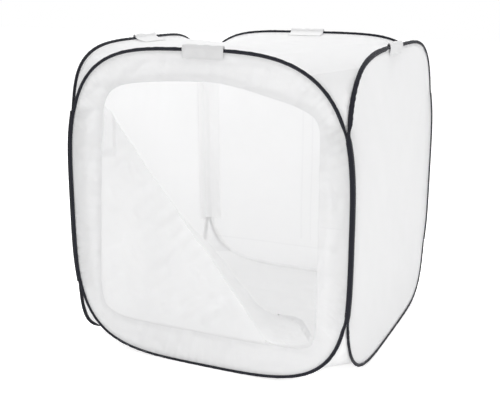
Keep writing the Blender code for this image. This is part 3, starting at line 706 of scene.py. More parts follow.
def fullness(wall, points):
    """The binding's fullness at points of a loop, which is plain under the tab and along a joined corner."""
    turn = np.degrees(np.arctan2(points[:, 1] - MIDDLE, points[:, 0])) % 360
    made = np.interp(turn, *zip(*FULLNESS[wall]), period=360)
    tab = (points[:, 1] > MIDDLE) * smooth(0.030, 0.0, np.abs(points[:, 0] - TAB_SHARE[wall] * HALF_W) - TAB_W / 2)
    return made + (1 - made) * np.maximum(tab, pressing(wall, points))


def make_binding(wall):
    """The tape folded over the steel, open for a short way under the tab."""
    even, outwards, arc = loop(wall, BINDING_COLUMNS)
    kept = run_of((even[:, 1] < MIDDLE) | (np.abs(even[:, 0] - TAB_SHARE[wall] * HALF_W) > TAB_GAP))
    even, outwards, arc = even[kept], outwards[kept], (arc[kept] - arc[kept[0]]) % (arc[-1] + arc[1])
    pressed, full, steps = pressing(wall, even), fullness(wall, even), arc_lengths(SECTION)
    seed = seed_of("binding", wall)
    rows, lay = [], []
    for index, (out, across) in enumerate(SECTION):
        lip = BINDING_LIP * smooth(0.001, -0.0045, out)
        ripple = 1 + BINDING_RIPPLE * waves(seed, arc, index * 0.0006, 0.020, 6) - lip
        rise = BINDING_RISE * waves(seed + 1, arc, 0, 0.016, 6) * smooth(-0.001, 0.0045, out)
        reach = DEEP / 2 - (DEEP / 2 - out) * (1 - PRESSED_DEEP * pressed) * (0.5 + 0.5 * full) + rise
        side = across * ripple * (1 - PRESSED_ACROSS * pressed)
        side = side * (full if across > 0 else np.minimum(full, INNER_FULLNESS))
        place = even + outwards * reach[:, None]
        rows.append(world(wall, place[:, 0], place[:, 1], offset(wall, even[:, 0], even[:, 1]) + side))
        lay.append(mapped(arc, steps[index]))
    made = dress(build(wall + "_binding_tape", rows, lay), LOOK_TAPE, wall + "_binding")
    fit(made, wall, wall + "_steel_loop", BINDING_FLAT, "folded")


FACING_COLUMNS = 480
FACING_PROFILE = ((-0.0125, -0.0010), (-0.0090, -0.0018), (-0.0062, -0.0030), (-0.0042, -0.0037),
                  (-0.0026, -FACE_BACK))
FACING_FREE = (-0.0040, -0.0090)


def make_facing(wall):
    """White tape over the binding's inner lip, where the cloths that meet the wall are sewn on."""
    even, outwards, arc = loop(wall, FACING_COLUMNS)

    def folds(x, y, out):
        under = border_folds(x, y, arc, -out, HEM) if wall == "front" else wall_folds(wall, x, y, arc, -out)
        return np.minimum(under, 0) * smooth(*FACING_FREE, out)

    made = ribbon(wall + "_seam_facing", wall, even, outwards, arc, FACING_PROFILE, folds)
    dress(made, LOOK_FACING_PAINTED_LIGHT)
    fit(made, wall, wall + "_binding_tape", FACING_FLAT, "folded")


# Tabs

TAB_SIDE, TAB_SHOULDER, TAB_THICK, TAB_WAVE, TAB_STAND = 0.0011, 0.72, 0.0009, 0.0007, 0.0006
TAB_FINE, TAB_ROWS, TAB_COLUMNS, TAB_SIDE_WAVE = 90, 44, 49, 0.35


def top_level(edge_level, share):
    middle = HEIGHT - DEEP - TOP_SAG
    return middle + (edge_level - middle) * share ** 4


def tab_section():
    """The tab from its outer hem over the binding to the top cloth: (height over the loop, outwards)."""
    side, crest, level = ACROSS / 2 + TAB_SIDE, DEEP / 2, MIDDLE + HALF_H
    rest = top_level(level + SEAM_RISE, 1 - TAB_REACH / (SPAN / 2)) + SEAM + 2 * GAP - level
    shoulder, high = side * TAB_SHOULDER, crest + TAB_RISE * 0.62
    return resample(spline([
        (crest - TAB_DROP, side), (crest - TAB_DROP / 2, side + 0.0003), (crest - DEEP / 4, side + 0.0004),
        (high, shoulder), (crest + TAB_RISE, 0.0), (high, -shoulder), (crest - DEEP / 4, -side - CLOTH),
        ((crest + rest) / 2 - 0.001, -TAB_REACH * 0.42), (rest, -TAB_REACH),
    ], TAB_FINE), TAB_ROWS)


def top_line(wall):
    """Places along the loop's top, and its centre line's height there."""
    even, _, _ = loop(wall, BINDING_COLUMNS)
    upper = even[even[:, 1] > MIDDLE + HALF_H * 0.9]
    return upper[np.argsort(upper[:, 0])].T


def make_tab(wall):
    profile, run = tab_section()
    across = np.linspace(-TAB_W / 2, TAB_W / 2, TAB_COLUMNS)
    place = across + TAB_SHARE[wall] * HALF_W
    level = np.interp(place, *top_line(wall))
    from_side = TAB_W / 2 - np.abs(across)
    ease = TAB_SIDE_WAVE + (1 - TAB_SIDE_WAVE) * smooth(0.0, 0.01, np.minimum(from_side, 0.02))
    seed = seed_of("tab", wall)
    rows, lay, edge = [], [], []
    for (rise, out), down in zip(profile, run):
        lift = TAB_WAVE * waves(seed, across, down, 0.035, 6) * ease
        over, outside = rise > DEEP / 2, out > 0
        up = rise + (lift if over else 0)
        z = out + (0 if over else lift * (1 if outside else -0.3) + (TAB_STAND if outside else 0))
        rows.append(world(wall, place, level + up, offset(wall, place, level) + z))
        lay.append(mapped(across, down))
        edge.append(mapped(across + down, np.minimum(from_side, np.minimum(down, run[-1] - down))))
    made = build(wall + "_tab_cloth", rows, lay, edge)
    thicken(made, TAB_THICK)
    # the front tab takes the darker copy of the tab cloth, which is painted shade
    dress(made, LOOK_FRONT_TAB_PAINTED_SHADE if wall == "front" else LOOK_TAB, wall + "_top_tab")
    fit(made, wall, wall + "_binding_tape", (TAB_W, float(run[-1])), "folded")


# Front border, window and cover

WIN_MIDDLE = np.array([(WIN_RIGHT - WIN_LEFT_TOP) / 2, (WIN_TOP + WIN_LOW) / 2])
BORDER_COLUMNS, BORDER_EDGE, BORDER_AREA = 600, 0.001, 0.196
BORDER_STEPS = np.concatenate([np.linspace(0, 0.40, 16)[:-1] ** 1.1, np.linspace(0.36, 1.0, 22)])
BORDER_WAVES = ((0.0012, 11, 0.12, 7), (0.0008, 12, 0.045, 8))
BORDER_SEED, BORDER_PUCKER, BORDER_FADE, BORDER_CREASE = 5, 0.0015, 0.026, 0.8
BORDER_STAND, BORDER_STAND_FROM, HEM_LONG = 0.0008, 0.030, 2.2
BORDER_CREASES = (
    (-0.335, 0.640, -0.245, 0.690, 0.010, 0.0032), (-0.300, 0.690, -0.215, 0.715, 0.009, -0.0026),
    (-0.335, 0.585, -0.262, 0.640, 0.009, 0.0030), (-0.345, 0.520, -0.280, 0.600, 0.010, -0.0024),
    (-0.190, 0.700, -0.120, 0.757, 0.008, 0.0030), (-0.240, 0.690, -0.170, 0.745, 0.009, -0.0022),
    (-0.350, 0.450, -0.290, 0.500, 0.012, 0.0018), (0.255, 0.660, 0.330, 0.560, 0.014, -0.0020),
    (0.310, 0.560, 0.350, 0.400, 0.010, 0.0020), (-0.330, 0.120, -0.255, 0.065, 0.012, 0.0022),
    (0.240, 0.060, 0.330, 0.150, 0.012, -0.0020), (-0.180, 0.050, 0.100, 0.040, 0.012, 0.0016),
)
# The hem, turned back behind the window's edge: (distance from the edge, outwards)
HEM_PROFILE = ((0.0, 0.0), (0.0004, -0.0007), (0.0012, -0.0010), (0.006, -0.0009), (0.012, -0.0009),
               (0.0178, -0.0008))


def window_points(count):
    """The window's edge as seen from its middle at even places of the loop, which come with it."""
    even, outwards, arc = loop("front", count)
    rim_line = even - outwards * BORDER_EDGE
    ways = unit(rim_line - WIN_MIDDLE)
    right = ways[:, 0] > 0
    square = np.where(right, WIN_SQUARE_RIGHT, WIN_SQUARE_LEFT)
    most = np.where(right, WIN_DROP_RIGHT, WIN_DROP_LEFT)
    reach = np.full(count, WIN_RIGHT)
    for _ in range(8):
        point = WIN_MIDDLE + ways * reach[:, None]
        lean = (WIN_TOP - point[:, 1]) / (WIN_TOP - WIN_LOW)
        left = WIN_LEFT_TOP + (WIN_LEFT_LOW - WIN_LEFT_TOP) * lean
        width = np.where(right, WIN_RIGHT - WIN_MIDDLE[0], left + WIN_MIDDLE[0])
        drop = most * (np.abs(point[:, 0] - WIN_MIDDLE[0]) / WIN_RIGHT) ** WIN_DROP_POWER
        height = np.where(ways[:, 1] > 0, WIN_TOP - drop - WIN_MIDDLE[1], WIN_MIDDLE[1] - WIN_LOW)
        reach = (np.abs(ways[:, 0] / width) ** square + np.abs(ways[:, 1] / height) ** square) ** (-1 / square)
    return WIN_MIDDLE + ways * reach[:, None], ways, rim_line, arc


def border_folds(x, y, arc, depth, inner):
    folds = smooth(*FADES["border"], depth) * slack(x, y, BORDER_WAVES, BORDER_CREASES, BORDER_CREASE)
    # the border's free edge stands off the cover behind it
    stand = BORDER_STAND * smooth(BORDER_STAND_FROM, 0.0, inner)
    return puckers(BORDER_SEED, arc, depth, BORDER_PUCKER, BORDER_FADE) + folds + stand


def make_border():
    window, ways, rim_line, arc = window_points(BORDER_COLUMNS)
    wide, steps = np.linalg.norm(window - rim_line, axis=1), BORDER_STEPS[:, None]
    flat = rim_line + (window - rim_line) * steps[..., None]
    depth, inner = BORDER_EDGE + wide * steps, wide * (1 - steps)
    x, y = flat[..., 0], flat[..., 1]
    points = on_wall("front", x, y, border_folds(x, y, arc, depth, inner))
    made = build("front_border_cloth", points, flat, mapped(arc, inner), closed=True)
    dress(made, LOOK_FRONT, "front_panel")
    fit(made, "front", "front_binding_tape", (2 * HALF_W, 2 * HALF_H), "stretched", area=BORDER_AREA)
    hem = ribbon("window_hem", "front", window, ways, arc, HEM_PROFILE,
                 lambda x, y, back: border_folds(x, y, arc, wide, back))
    dress(hem, LOOK_HEM_PAINTED_LIGHT)
    fit(hem, "front", "front_border_cloth", (HEM, HEM_LONG), "folded")


def above_fold(points):
    return (points - np.array(FOLD_HIGH)) @ FOLD_NORMAL


LOOP_START, LOOP_BACK, LOOP_DEPTH, LOOP_HIGHEST, LOOP_LONG = 0.002, 0.0026, 0.05, 0.0002, 1.35


def make_loop_strip():
    window, ways, _, arc = window_points(BORDER_COLUMNS)
    kept = run_of(above_fold(window) > COVER_LAP + HEM)
    run = np.unwrap(arc[kept], period=arc[-1] + arc[1])
    rows, lay = [], []
    for reach in np.linspace(LOOP_START, LOOP_START + HEM, 7):
        x, y = (window[kept] + ways[kept] * reach).T
        lift = border_folds(x, y, arc[kept], LOOP_DEPTH, reach)
        rows.append(on_wall("front", x, y, np.minimum(lift, LOOP_HIGHEST) - LOOP_BACK))
        lay.append(mapped(run, reach - LOOP_START))
    made = build("window_loop_tape", rows, lay)
    dress(made, pile("loop_pile", grey(0.985), 0.85), "window_loop_strip")
    fit(made, "front", "window_hem", (HEM, LOOP_LONG), "laid")


COVER_FINE, COVER_COLUMNS, COVER_FLAT, COVER_AREA = 2000, 170, (0.57, 0.60), 0.165
COVER_STEPS = np.concatenate([np.linspace(0, 0.12, 8)[:-1], np.linspace(0.12, 1, 50)])
COVER_HOLLOW, COVER_HIGHEST, COVER_WAVES = 0.0030, 0.0006, ((0.0026, 21, 0.16, 6), (0.0011, 22, 0.05, 8))
COVER_CREASES = (
    (-0.245, 0.560, -0.020, 0.290, 0.016, -0.0040), (-0.255, 0.470, -0.080, 0.260, 0.020, 0.0034),
    (-0.270, 0.330, -0.120, 0.150, 0.024, -0.0030), (-0.180, 0.400, 0.060, 0.110, 0.018, 0.0030),
    (-0.060, 0.290, 0.120, 0.115, 0.012, -0.0028), (-0.250, 0.200, -0.100, 0.105, 0.018, 0.0026),
)
PULL, PULL_X, PULL_LOW, PULL_HIGH = 0.012, -0.262, 0.50, 0.64


def cover_folds(x, y, depth):
    folds = smooth(*FADES["cover"], depth) * (slack(x, y, COVER_WAVES, COVER_CREASES) - COVER_HOLLOW)
    # pulled in behind the border at the upper left, which leaves the photo's dark gap
    pulled = smooth(0.030, 0.010, np.abs(x - PULL_X)) * smooth(0.0, 0.010, depth)
    pulled = pulled * smooth(PULL_LOW, PULL_LOW + 0.03, y) * smooth(PULL_HIGH, PULL_HIGH - 0.04, y)
    return np.minimum(folds - PULL * pulled, COVER_HIGHEST)


def make_cover():
    window, ways, _, _ = window_points(COVER_FINE)
    sewn_line, _ = resample((window + ways * COVER_LAP)[run_of(above_fold(window) < 0)], COVER_COLUMNS)
    ends = np.array((FOLD_HIGH, FOLD_LOW) if sewn_line[0, 1] > sewn_line[-1, 1] else (FOLD_LOW, FOLD_HIGH))
    fold = ends[0] + (ends[1] - ends[0]) * np.linspace(0, 1, COVER_COLUMNS)[:, None]
    flat = sewn_line + (fold - sewn_line) * COVER_STEPS[:, None, None]
    depth = np.linalg.norm(fold - sewn_line, axis=1) * COVER_STEPS[:, None]
    x, y = flat[..., 0], flat[..., 1]
    made = build("front_cover_cloth", on_wall("front", x, y, cover_folds(x, y, depth) - COVER_BACK), flat)
    dress(made, LOOK_COVER_PAINTED_LIGHT, "front_cover")
    fit(made, "front", "front_border_cloth", COVER_FLAT, "hung", area=COVER_AREA)


FLAP_COLUMNS, FLAP_WIDE, FLAP_TALL, FLAP_LONG, FLAP_AREA = 150, 0.66, 0.35, 0.50, 0.15
FLAP_DOWNS = np.concatenate([np.linspace(0, 0.10, 9)[:-1], np.linspace(0.10, 0.86, 46)[:-1],
                             np.linspace(0.86, 1, 12)])
FLAP_BULGE, FLAP_WAVE, FLAP_BEHIND, FLAP_BELOW = 0.16, 0.04, 0.0004, 0.0020
FLAP_BROAD, FLAP_FINE, FLAP_GATHER = 0.0045, 0.0016, 0.6
FLAP_SQUASH = {"axis": (0, 1, 0), "anchor": (0, -SPAN / 2 + 0.004, 0.3), "keep": 0.12}


def make_flap():
    """The cover's loose half, hanging from the fold. Gives its rows of points."""
    share = np.linspace(0, 1, FLAP_COLUMNS)
    # it starts below the fold's crest, so that none of it stands over the cover's edge
    below = FLAP_BELOW * smooth(0.08, 0.35, share) * smooth(0.92, 0.65, share)
    x, y = (along(FOLD_ROUTE, share) - below[:, None] * FOLD_NORMAL).T
    start = on_wall("front", x, y, cover_folds(x, y, 0.05) - COVER_BACK - FLAP_BEHIND)
    end = along(HEM_ROUTE, share) - (0, SPAN / 2, 0)
    drop, length = start[:, 2] - end[:, 2], np.linalg.norm(end - start, axis=1)
    rows, lay, edge = [], [], []
    for down in FLAP_DOWNS:
        bulge = 4 * down * (1 - down) * np.sin(math.pi * share)
        wave = np.sin(6 * math.pi * share) * math.sin(math.pi * down)
        broad = FLAP_BROAD * waves(31, share * FLAP_GATHER, down * 0.10, 0.085, 7)
        extra = broad * math.sin(math.pi * min(down * 1.4, 1)) ** 0.5
        fine = FLAP_FINE * waves(32, share * FLAP_GATHER, down * 0.2, 0.035, 8) * min(down * 6, 1)
        points = start + (end - start) * down
        points[:, 1] += drop * (FLAP_BULGE * bulge + FLAP_WAVE * wave) + (extra + fine) * np.sin(math.pi * share)
        rows.append(points)
        lay.append(mapped(share * FLAP_WIDE, down * FLAP_TALL))
        edge.append(mapped(share * FLAP_WIDE, (1 - down) * length))
    made = dress(build("cover_flap_cloth", rows, lay, edge), LOOK_FLAP_PAINTED_LIGHT, "cover_flap")
    fit(made, "cover", "front_cover_cloth", (FLAP_WIDE, FLAP_LONG), "hung", FLAP_SQUASH, area=FLAP_AREA)
    return rows


HOOK_START, HOOK_WIDE, HOOK_LONG, HOOK_STAND, HOOK_ENDS = 0.001, 0.016, 0.55, 0.0013, 7


def make_hook_tape(rows):
    """Hook tape along the flap's loose edge."""
    hem, kept = rows[-1], slice(HOOK_ENDS, -HOOK_ENDS)
    up, side = unit(rows[-4] - hem), unit(np.gradient(hem, axis=0))
    face = unit(np.cross(side, -up))
    share = np.linspace(0, 1, len(hem))[kept]
    reaches = np.linspace(HOOK_START, HOOK_START + HOOK_WIDE, 6)
    made = build("cover_hook_tape", [(hem + up * reach + face * HOOK_STAND)[kept] for reach in reaches],
                 [mapped(share * FLAP_WIDE, reach) for reach in reaches])
    dress(made, pile("hook_pile", grey(0.975, 0.001), 0.8), "cover_hook_strip")
    fit(made, "cover", "cover_flap_cloth", (HOOK_WIDE, HOOK_LONG), "laid", FLAP_SQUASH)


# Corners

JOINED_ROWS, BLEND_OUT = 90, -0.010


def joined(wall, side):
    """The loop's points where it is sewn to its neighbour, from the lowest to the highest."""
    levels = np.linspace(0, JOIN, JOINED_ROWS // 2)
    low, high = (loop_points(wall, side, up, level_angle(wall, side, up, levels))[0] for up in (-1, 1))
    return np.concatenate([low[:0:-1], high])


def across_corner(wall, following, profile):
    """Rows of points from one wall round a corner to the next, by a profile: (step past the loop, outwards)."""
    points, other = joined(wall, 1), joined(following, -1)
    columns = [on_wall(wall, points[:, 0] + step, points[:, 1], out) for step, out in profile]
    columns += [on_wall(following, other[:, 0] - step, other[:, 1], out) for step, out in reversed(profile)]
    return np.stack(columns, 1)


def bend(corner, name, grid, lay, edge, look, node, reach, flat, thickness=None):
    """Make a piece that runs round a corner from one wall to the next; at the opened corner its two halves ride them.
    """
    label, wall, following = corner
    columns = grid.shape[1]
    middle = columns // 2
    halves = (("", slice(0, columns)),)
    if label == OPENED_CORNER:
        halves = (("_a", slice(0, middle + 1)), ("_b", slice(middle, columns)))
        flat = (flat[0] / 2, flat[1])
    for suffix, cut in halves:
        made = build(label + name + suffix, grid[:, cut], lay[:, cut], None if edge is None else edge[:, cut])
        if thickness:
            thicken(made, thickness)
        dress(made, look, label + node)
        if suffix:
            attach(made, wall if suffix == "_a" else following)
        else:
            start = world(wall, HALF_W - reach, MIDDLE, BLEND_OUT)
            end = world(following, reach - HALF_W, MIDDLE, BLEND_OUT)
            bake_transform(made)


HINGE_LAP, HINGE_THICK, HINGE_COLUMNS, HINGE_REACH = 0.0016, 0.0006, 15, 0.006
HINGE_END, HINGE_TAPER = 0.10, 0.07


def make_hinge(corner):
    _, wall, following = corner
    height = joined(wall, 1)[:, 1]
    face = ACROSS / 2 * (1 - PRESSED_ACROSS) + HINGE_THICK
    over = SETBACK + face - HINGE_LAP
    # narrow at its ends, where the loops part
    wide = HINGE_END + (1 - HINGE_END) * smooth(0.0, HINGE_TAPER, JOIN - np.abs(height - MIDDLE) / HALF_H)
    profile = [(-HINGE_LAP, -0.0003), (0.0010, 0.0002), (over * 0.7, 0.0003), (over, 0.0)]
    profile = [(over - (over - step) * wide, face + out) for step, out in profile]
    fine = np.stack([spline(row, HINGE_COLUMNS) for row in across_corner(wall, following, profile)])
    steps = arc_lengths(fine[JOINED_ROWS // 2])
    bend(corner, "_tape", fine, mapped(height[:, None], steps), None, LOOK_HINGE, "_hinge_tape",
         HINGE_REACH, (float(steps[-1]), JOINED_RUN), HINGE_THICK)


STRIP_COLUMNS, STRIP_REACH, STRIP_RIPPLE = 12, 0.012, 0.0009


def into_tent(grid, up=0.0):
    """The way from a corner piece towards the middle of the tent."""
    return np.array([-np.sign(grid[..., 0].mean()), -np.sign(grid[..., 1].mean()), up])


def make_strip(corner):
    _, wall, following = corner
    back = FACE_BACK + GAP
    across = np.linspace(SETBACK - STRIP_LEG, SETBACK - back - STRIP_TURN, STRIP_COLUMNS)
    grid = across_corner(wall, following, [(step, -back) for step in across])
    height, steps = joined(wall, 1)[:, 1:], arc_lengths(grid[JOINED_ROWS // 2])
    ripple = STRIP_RIPPLE * waves(seed_of("strip", wall), height, steps * 1.5, 0.09, 6)
    grid = grid + np.abs(ripple)[..., None] * into_tent(grid) / math.sqrt(2)
    grid[0, :, 2] -= STRIP_LAP
    grid[-1, :, 2] += STRIP_LAP
    lay = mapped(height, steps)
    bend(corner, "_strip", grid, lay, lay, LOOK_STRIP_PAINTED_LIGHT, "_corner_strip", STRIP_REACH,
         (float(steps[-1]), JOINED_RUN))


GUSSET_ROWS, GUSSET_COLUMNS, GUSSET_REACH = 34, 25, 0.05
GUSSET_SAG, GUSSET_HOLLOW, GUSSET_CLEAR, GUSSET_LEAN, GUSSET_IN = 0.0016, 0.002, 0.0042, 0.6, 1.54


def sewn(wall, samples):
    points, outwards = samples
    seam = points + outwards * SEAM_RISE
    return on_wall(wall, seam[:, 0], seam[:, 1], -FACE_BACK)


def gusset_side(wall, side, up):
    """A gusset's sewn edge on one wall, and its first point."""
    start, end = level_angle(wall, side, up, JOIN), across_angle(wall, side, up, CREASE[wall])
    samples = loop_points(wall, side, up, np.linspace(start, end, GUSSET_ROWS))
    return sewn(wall, samples), samples[0][0]


def gusset_grid(wall, following, up):
    (start, point), (end, _) = gusset_side(wall, 1, up), gusset_side(following, -1, up)
    middle = (start + end) / 2
    corner = np.broadcast_to(on_wall(wall, point[0] + SETBACK - FACE_BACK, point[1], -FACE_BACK), middle.shape).copy()
    corner[:, 2] = middle[:, 2]
    ridge = corner + (middle - corner) * np.linspace(0, 1, GUSSET_ROWS)[:, None]
    control = 2 * ridge - middle
    t = np.linspace(0, 1, GUSSET_COLUMNS)[None, :, None]
    return (1 - t) ** 2 * start[:, None] + 2 * t * (1 - t) * control[:, None] + t ** 2 * end[:, None]


def make_gusset(corner, up):
    _, wall, following = corner
    grid = gusset_grid(wall, following, up)
    down = arc_lengths(grid[:, GUSSET_COLUMNS // 2])
    wide = np.linalg.norm(np.diff(grid, axis=1), axis=2).sum(1)
    t = np.linspace(0, 1, GUSSET_COLUMNS)
    lay = mapped((t - 0.5) * wide[:, None], down[:, None])
    held = np.sin(math.pi * t) * np.sin(math.pi * np.linspace(0.05, 1, GUSSET_ROWS))[:, None]
    # clear of the bindings where the two loops part
    clear = (4 * t * (1 - t)) ** 0.5 * np.linspace(1, 0, GUSSET_ROWS)[:, None] ** 2
    seed = seed_of("gusset", wall) + (up > 0)
    sag = GUSSET_SAG * waves(seed, lay[..., 0], lay[..., 1], 0.07, 6) * held
    inward = into_tent(grid, -GUSSET_LEAN * up) / GUSSET_IN
    grid = grid + (np.abs(sag) + GUSSET_HOLLOW * held + GUSSET_CLEAR * clear)[..., None] * inward
    # top gussets take the darker copy (painted shade), bottom gussets the lighter one (painted light)
    look, place = (LOOK_TOP_GUSSET_PAINTED_SHADE, "_top_gusset") if up > 0 else (LOOK_BOTTOM_GUSSET_PAINTED_LIGHT, "_bottom_gusset")
    area = float(((wide[1:] + wide[:-1]) / 2 * np.diff(down)).sum())
    bend(corner, place + "_cloth", grid, lay, None, look, place, GUSSET_REACH,
         (float(wide.max()), area / float(wide.max())))


# Top and floor

RIM_FINE, RIM_COLUMNS = 200, 150
SPREAD = np.concatenate([1 - np.array([0, 0.006, 0.014, 0.026, 0.042, 0.062, 0.088]), np.linspace(0.88, 0.02, 34)])
SPREAD_FLAT, SPREAD_AREA, CENTRE_DEPTH = (0.70, 0.36), 0.125, 0.37
SPREAD_INSIDE, SPREAD_KEEP = 0.012, 0.06
TOP_WAVES = ((0.0022, 41, 0.30, 6), (0.0006, 42, 0.08, 8))
TOP_CREASES = (
    (0.28, -0.28, 0.02, -0.02, 0.030, 0.0035), (-0.28, -0.28, -0.05, -0.05, 0.026, 0.0030),
    (0.26, 0.28, 0.04, 0.06, 0.026, 0.0030), (-0.28, 0.26, -0.04, 0.05, 0.028, 0.0030),
)
FLOOR_WAVES, FLOOR_RISE = ((0.0012, 51, 0.20, 6), (0.0005, 52, 0.06, 8)), 0.0016
FLOOR_CREASES = (
    (-0.28, 0.17, 0.24, 0.13, 0.010, 0.0035), (-0.22, 0.05, 0.28, 0.09, 0.012, 0.0030),
    (0.05, -0.02, 0.30, 0.02, 0.010, 0.0030), (-0.10, 0.24, 0.30, 0.22, 0.012, 0.0026),
)
# The floor lies flat inside this share of its way out, and turns up to the loops outside it
FLOOR_FLAT, FLOOR_TURN = 0.70, 2.2


def rim(wall, up):
    """A wall's top or bottom seam, from one gusset's middle to the other's."""
    left = gusset_grid(neighbour(wall, -1), wall, up)[-1]
    right = gusset_grid(wall, neighbour(wall, 1), up)[-1]
    half = GUSSET_COLUMNS // 2
    first, last = (across_angle(wall, side, up, CREASE[wall]) for side in (-1, 1))
    a = sewn(wall, loop_points(wall, -1, up, np.linspace(first, math.pi / 2, RIM_FINE)))
    b = sewn(wall, loop_points(wall, 1, up, np.linspace(math.pi / 2, last, RIM_FINE)))
    edge, _ = resample(np.concatenate([a, b[1:]]), RIM_COLUMNS)
    return np.concatenate([left[half:-1], edge, right[1:half + 1]])


def top_folds(x, y, depth):
    return smooth(*FADES["top"], depth) * slack(x, y, TOP_WAVES, TOP_CREASES)


def floor_folds(x, y, depth):
    return smooth(*FADES["floor"], depth) * np.maximum(FLOOR_RISE + slack(x, y, FLOOR_WAVES, FLOOR_CREASES), 0.0)


def floor_level(edge_level, share):
    return CLOTH / 2 + (edge_level - CLOTH / 2) * np.clip((share - FLOOR_FLAT) / (1 - FLOOR_FLAT), 0, 1) ** FLOOR_TURN


def make_spread(wall, place, up, level, folds, look, held):
    """A wall's quarter of the top or the floor: a triangle of cloth from its rim to the middle."""
    edge, share = rim(wall, up), SPREAD[:, None]
    grid = edge * share[..., None]
    x, y = grid[..., 0], grid[..., 1]
    grid[..., 2] = level(edge[:, 2], share) + folds(x, y, (1 - share) * SPAN / 2)
    tip = np.array([0, 0, level(0, 0) + float(folds(0.0, 0.0, CENTRE_DEPTH))])
    grid = np.concatenate([grid, np.broadcast_to(tip, grid[-1:].shape)])
    made = weld(build(wall + place + "_cloth", grid, grid[..., :2]))
    dress(made, look, place[1:] + "_panel")
    turn = WALLS.index(wall) * math.pi / 2
    outwards = Vector((math.sin(turn), -math.cos(turn), 0))
    # an axis and an anchor against its wall, and a share to keep, handed to fit
    anchor = tuple(outwards * (SPAN / 2 - SPREAD_INSIDE))
    squash = {"axis": tuple(outwards), "anchor": anchor, "keep": SPREAD_KEEP}
    fit(made, wall, wall + "_binding_tape", SPREAD_FLAT, held, squash, area=SPREAD_AREA)


def weld(obj):
    made = bmesh.new()
    made.from_mesh(obj.data)
    bmesh.ops.remove_doubles(made, verts=made.verts, dist=1e-6)
    made.to_mesh(obj.data)
    made.free()
    obj.data.shade_smooth()
    return obj


# Camera, lamps and floor

CAM_PLACE, CAM_YAW, CAM_PITCH, CAM_ROLL = (0.8951, -2.0750, 0.9229), 0.4243, 0.254, 0.0023
CAM_FOCUS, IMAGE_WIDTH, SENSOR = 838.5, 500, 36.0
# name, place, what it looks at, width, power in watts, and height where it isn't round
LAMPS = (
    ("key", (1.4, -2.9, 0.5), (0, 0, 0.0), 1.8, 15.0, None),
    ("right", (3.0, -0.8, 0.5), (0, 0, 0.10), 2.0, 8.0, None),
    ("low_front", (0.25, -1.25, 0.10), (0.0, -0.38, 0.20), 1.6, 2.2, 0.14),
    ("low_right", (1.35, 0.10, 0.10), (0.38, 0.10, 0.20), 1.4, 1.2, 0.14),
    ("overhead", (-0.2, 0.5, 3.0), (0, 0, 0.4), 2.4, 26.0, None),
    ("back_left", (-2.4, 1.6, 1.9), (0, 0, 0.3), 1.8, 20.0, None),
)
WORLD_LIGHT, FLOOR_GLOW, FLOOR_REACH, FLOOR_LEVEL = 0.70, 0.58, 12.0, -0.0005


def make_camera():
    yaw, pitch = CAM_YAW, CAM_PITCH
    ahead = Vector((-math.sin(yaw) * math.cos(pitch), math.cos(yaw) * math.cos(pitch), -math.sin(pitch)))
    right = Vector((math.cos(yaw), math.sin(yaw), 0))
    up = right.cross(ahead)
    turn = Matrix((right, up, -ahead)).transposed() @ Matrix.Rotation(CAM_ROLL, 3, "Z")
    data = bpy.data.cameras.new("camera")
    data.sensor_width = SENSOR
    data.lens = SENSOR * CAM_FOCUS / IMAGE_WIDTH
    camera = add("camera", data)
    camera.matrix_world = Matrix.Translation(CAM_PLACE) @ turn.to_4x4()
    bpy.context.scene.camera = camera


def make_lamp(name, place, towards, size, power_w, tall):
    data = bpy.data.lights.new(name, "AREA")
    data.shape = "RECTANGLE" if tall else "DISK"
    data.size = size
    data.size_y = tall or size
    data.energy = power_w
    lamp = add(name, data)
    lamp.location = place
    lamp.rotation_euler = (Vector(towards) - Vector(place)).to_track_quat("-Z", "Y").to_euler()


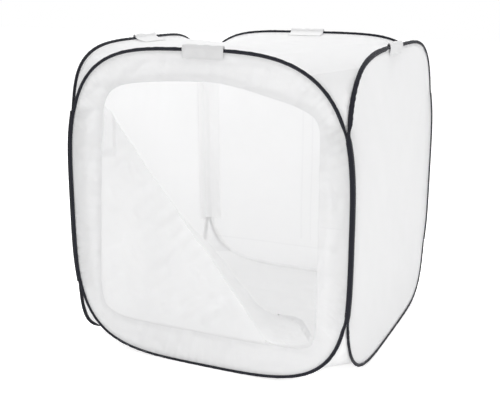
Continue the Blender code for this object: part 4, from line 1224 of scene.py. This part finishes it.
def make_world():
    """An even light all round, seen as white by the camera, in gloss and through cloth."""
    studio = bpy.data.worlds.new("studio")
    bpy.context.scene.world = studio
    studio.use_nodes = True
    nodes = Nodes(studio.node_tree)
    rays = nodes.node("ShaderNodeLightPath").outputs
    seen = nodes.math("MAXIMUM", rays["Is Camera Ray"], rays["Is Glossy Ray"])
    seen = nodes.math("MAXIMUM", seen, rays["Is Transmission Ray"])
    strength = nodes.fill(nodes.node("ShaderNodeMapRange"), Value=seen, To_Min=WORLD_LIGHT, To_Max=1.0)
    nodes.fill(nodes.tree.nodes["Background"], Strength=strength.outputs[0], Color=(1.0, 1.0, 1.0, 1.0))


def make_studio_floor():
    mesh = bpy.data.meshes.new("floor")
    corners = ((-1, -1), (1, -1), (1, 1), (-1, 1))
    mesh.from_pydata([(x * FLOOR_REACH, y * FLOOR_REACH, FLOOR_LEVEL) for x, y in corners], [], [(0, 1, 2, 3)])
    ground = add("studio_floor", mesh)
    look = Look("studio_floor")
    place = look.node("ShaderNodeTexCoord").outputs["Object"]
    look.tint(grey(0.92), [(look.noise(place, 3.0), grey(0.99))])
    look.fill(look.shader, Roughness=0.9, Specular_IOR_Level=0.1)
    seen = look.node("ShaderNodeLightPath").outputs["Is Camera Ray"]
    glow = look.fill(look.node("ShaderNodeEmission"), Color=(1, 1, 1, 1), Strength=look.times(seen, FLOOR_GLOW))
    look.join(look.node("ShaderNodeAddShader"), glow)
    mesh.materials.append(look.material)


def main():
    make_camera()
    make_world()
    make_studio_floor()
    for lamp in LAMPS:
        make_lamp(*lamp)
    for wall in WALLS:
        make_binding(wall)
        make_facing(wall)
        make_tab(wall)
        if wall == "front":
            make_border()
        else:
            make_wall(wall)
    make_loop_strip()
    make_cover()
    make_hook_tape(make_flap())
    for corner in CORNERS:
        make_hinge(corner)
        make_strip(corner)
        make_gusset(corner, 1)
        make_gusset(corner, -1)
    for wall in WALLS:
        make_spread(wall, "_top", 1, top_level, top_folds, LOOK_TOP, "stretched")
        make_spread(wall, "_floor", -1, floor_level, floor_folds, LOOK_FLOOR_PAINTED_LIGHT, "laid")
    steel = metal("spring_steel", STEEL_COLOUR, 0.32)
    ferrule = metal("ferrule_steel", FERRULE_COLOUR, 0.38)
    for wall in WALLS:
        coat(frame["nodes"][wall + "_steel_loop"], steel)
        coat(frame["nodes"][wall + "_ferrule"], ferrule)


main()
bpy.context.scene.view_settings.view_transform = "Standard"
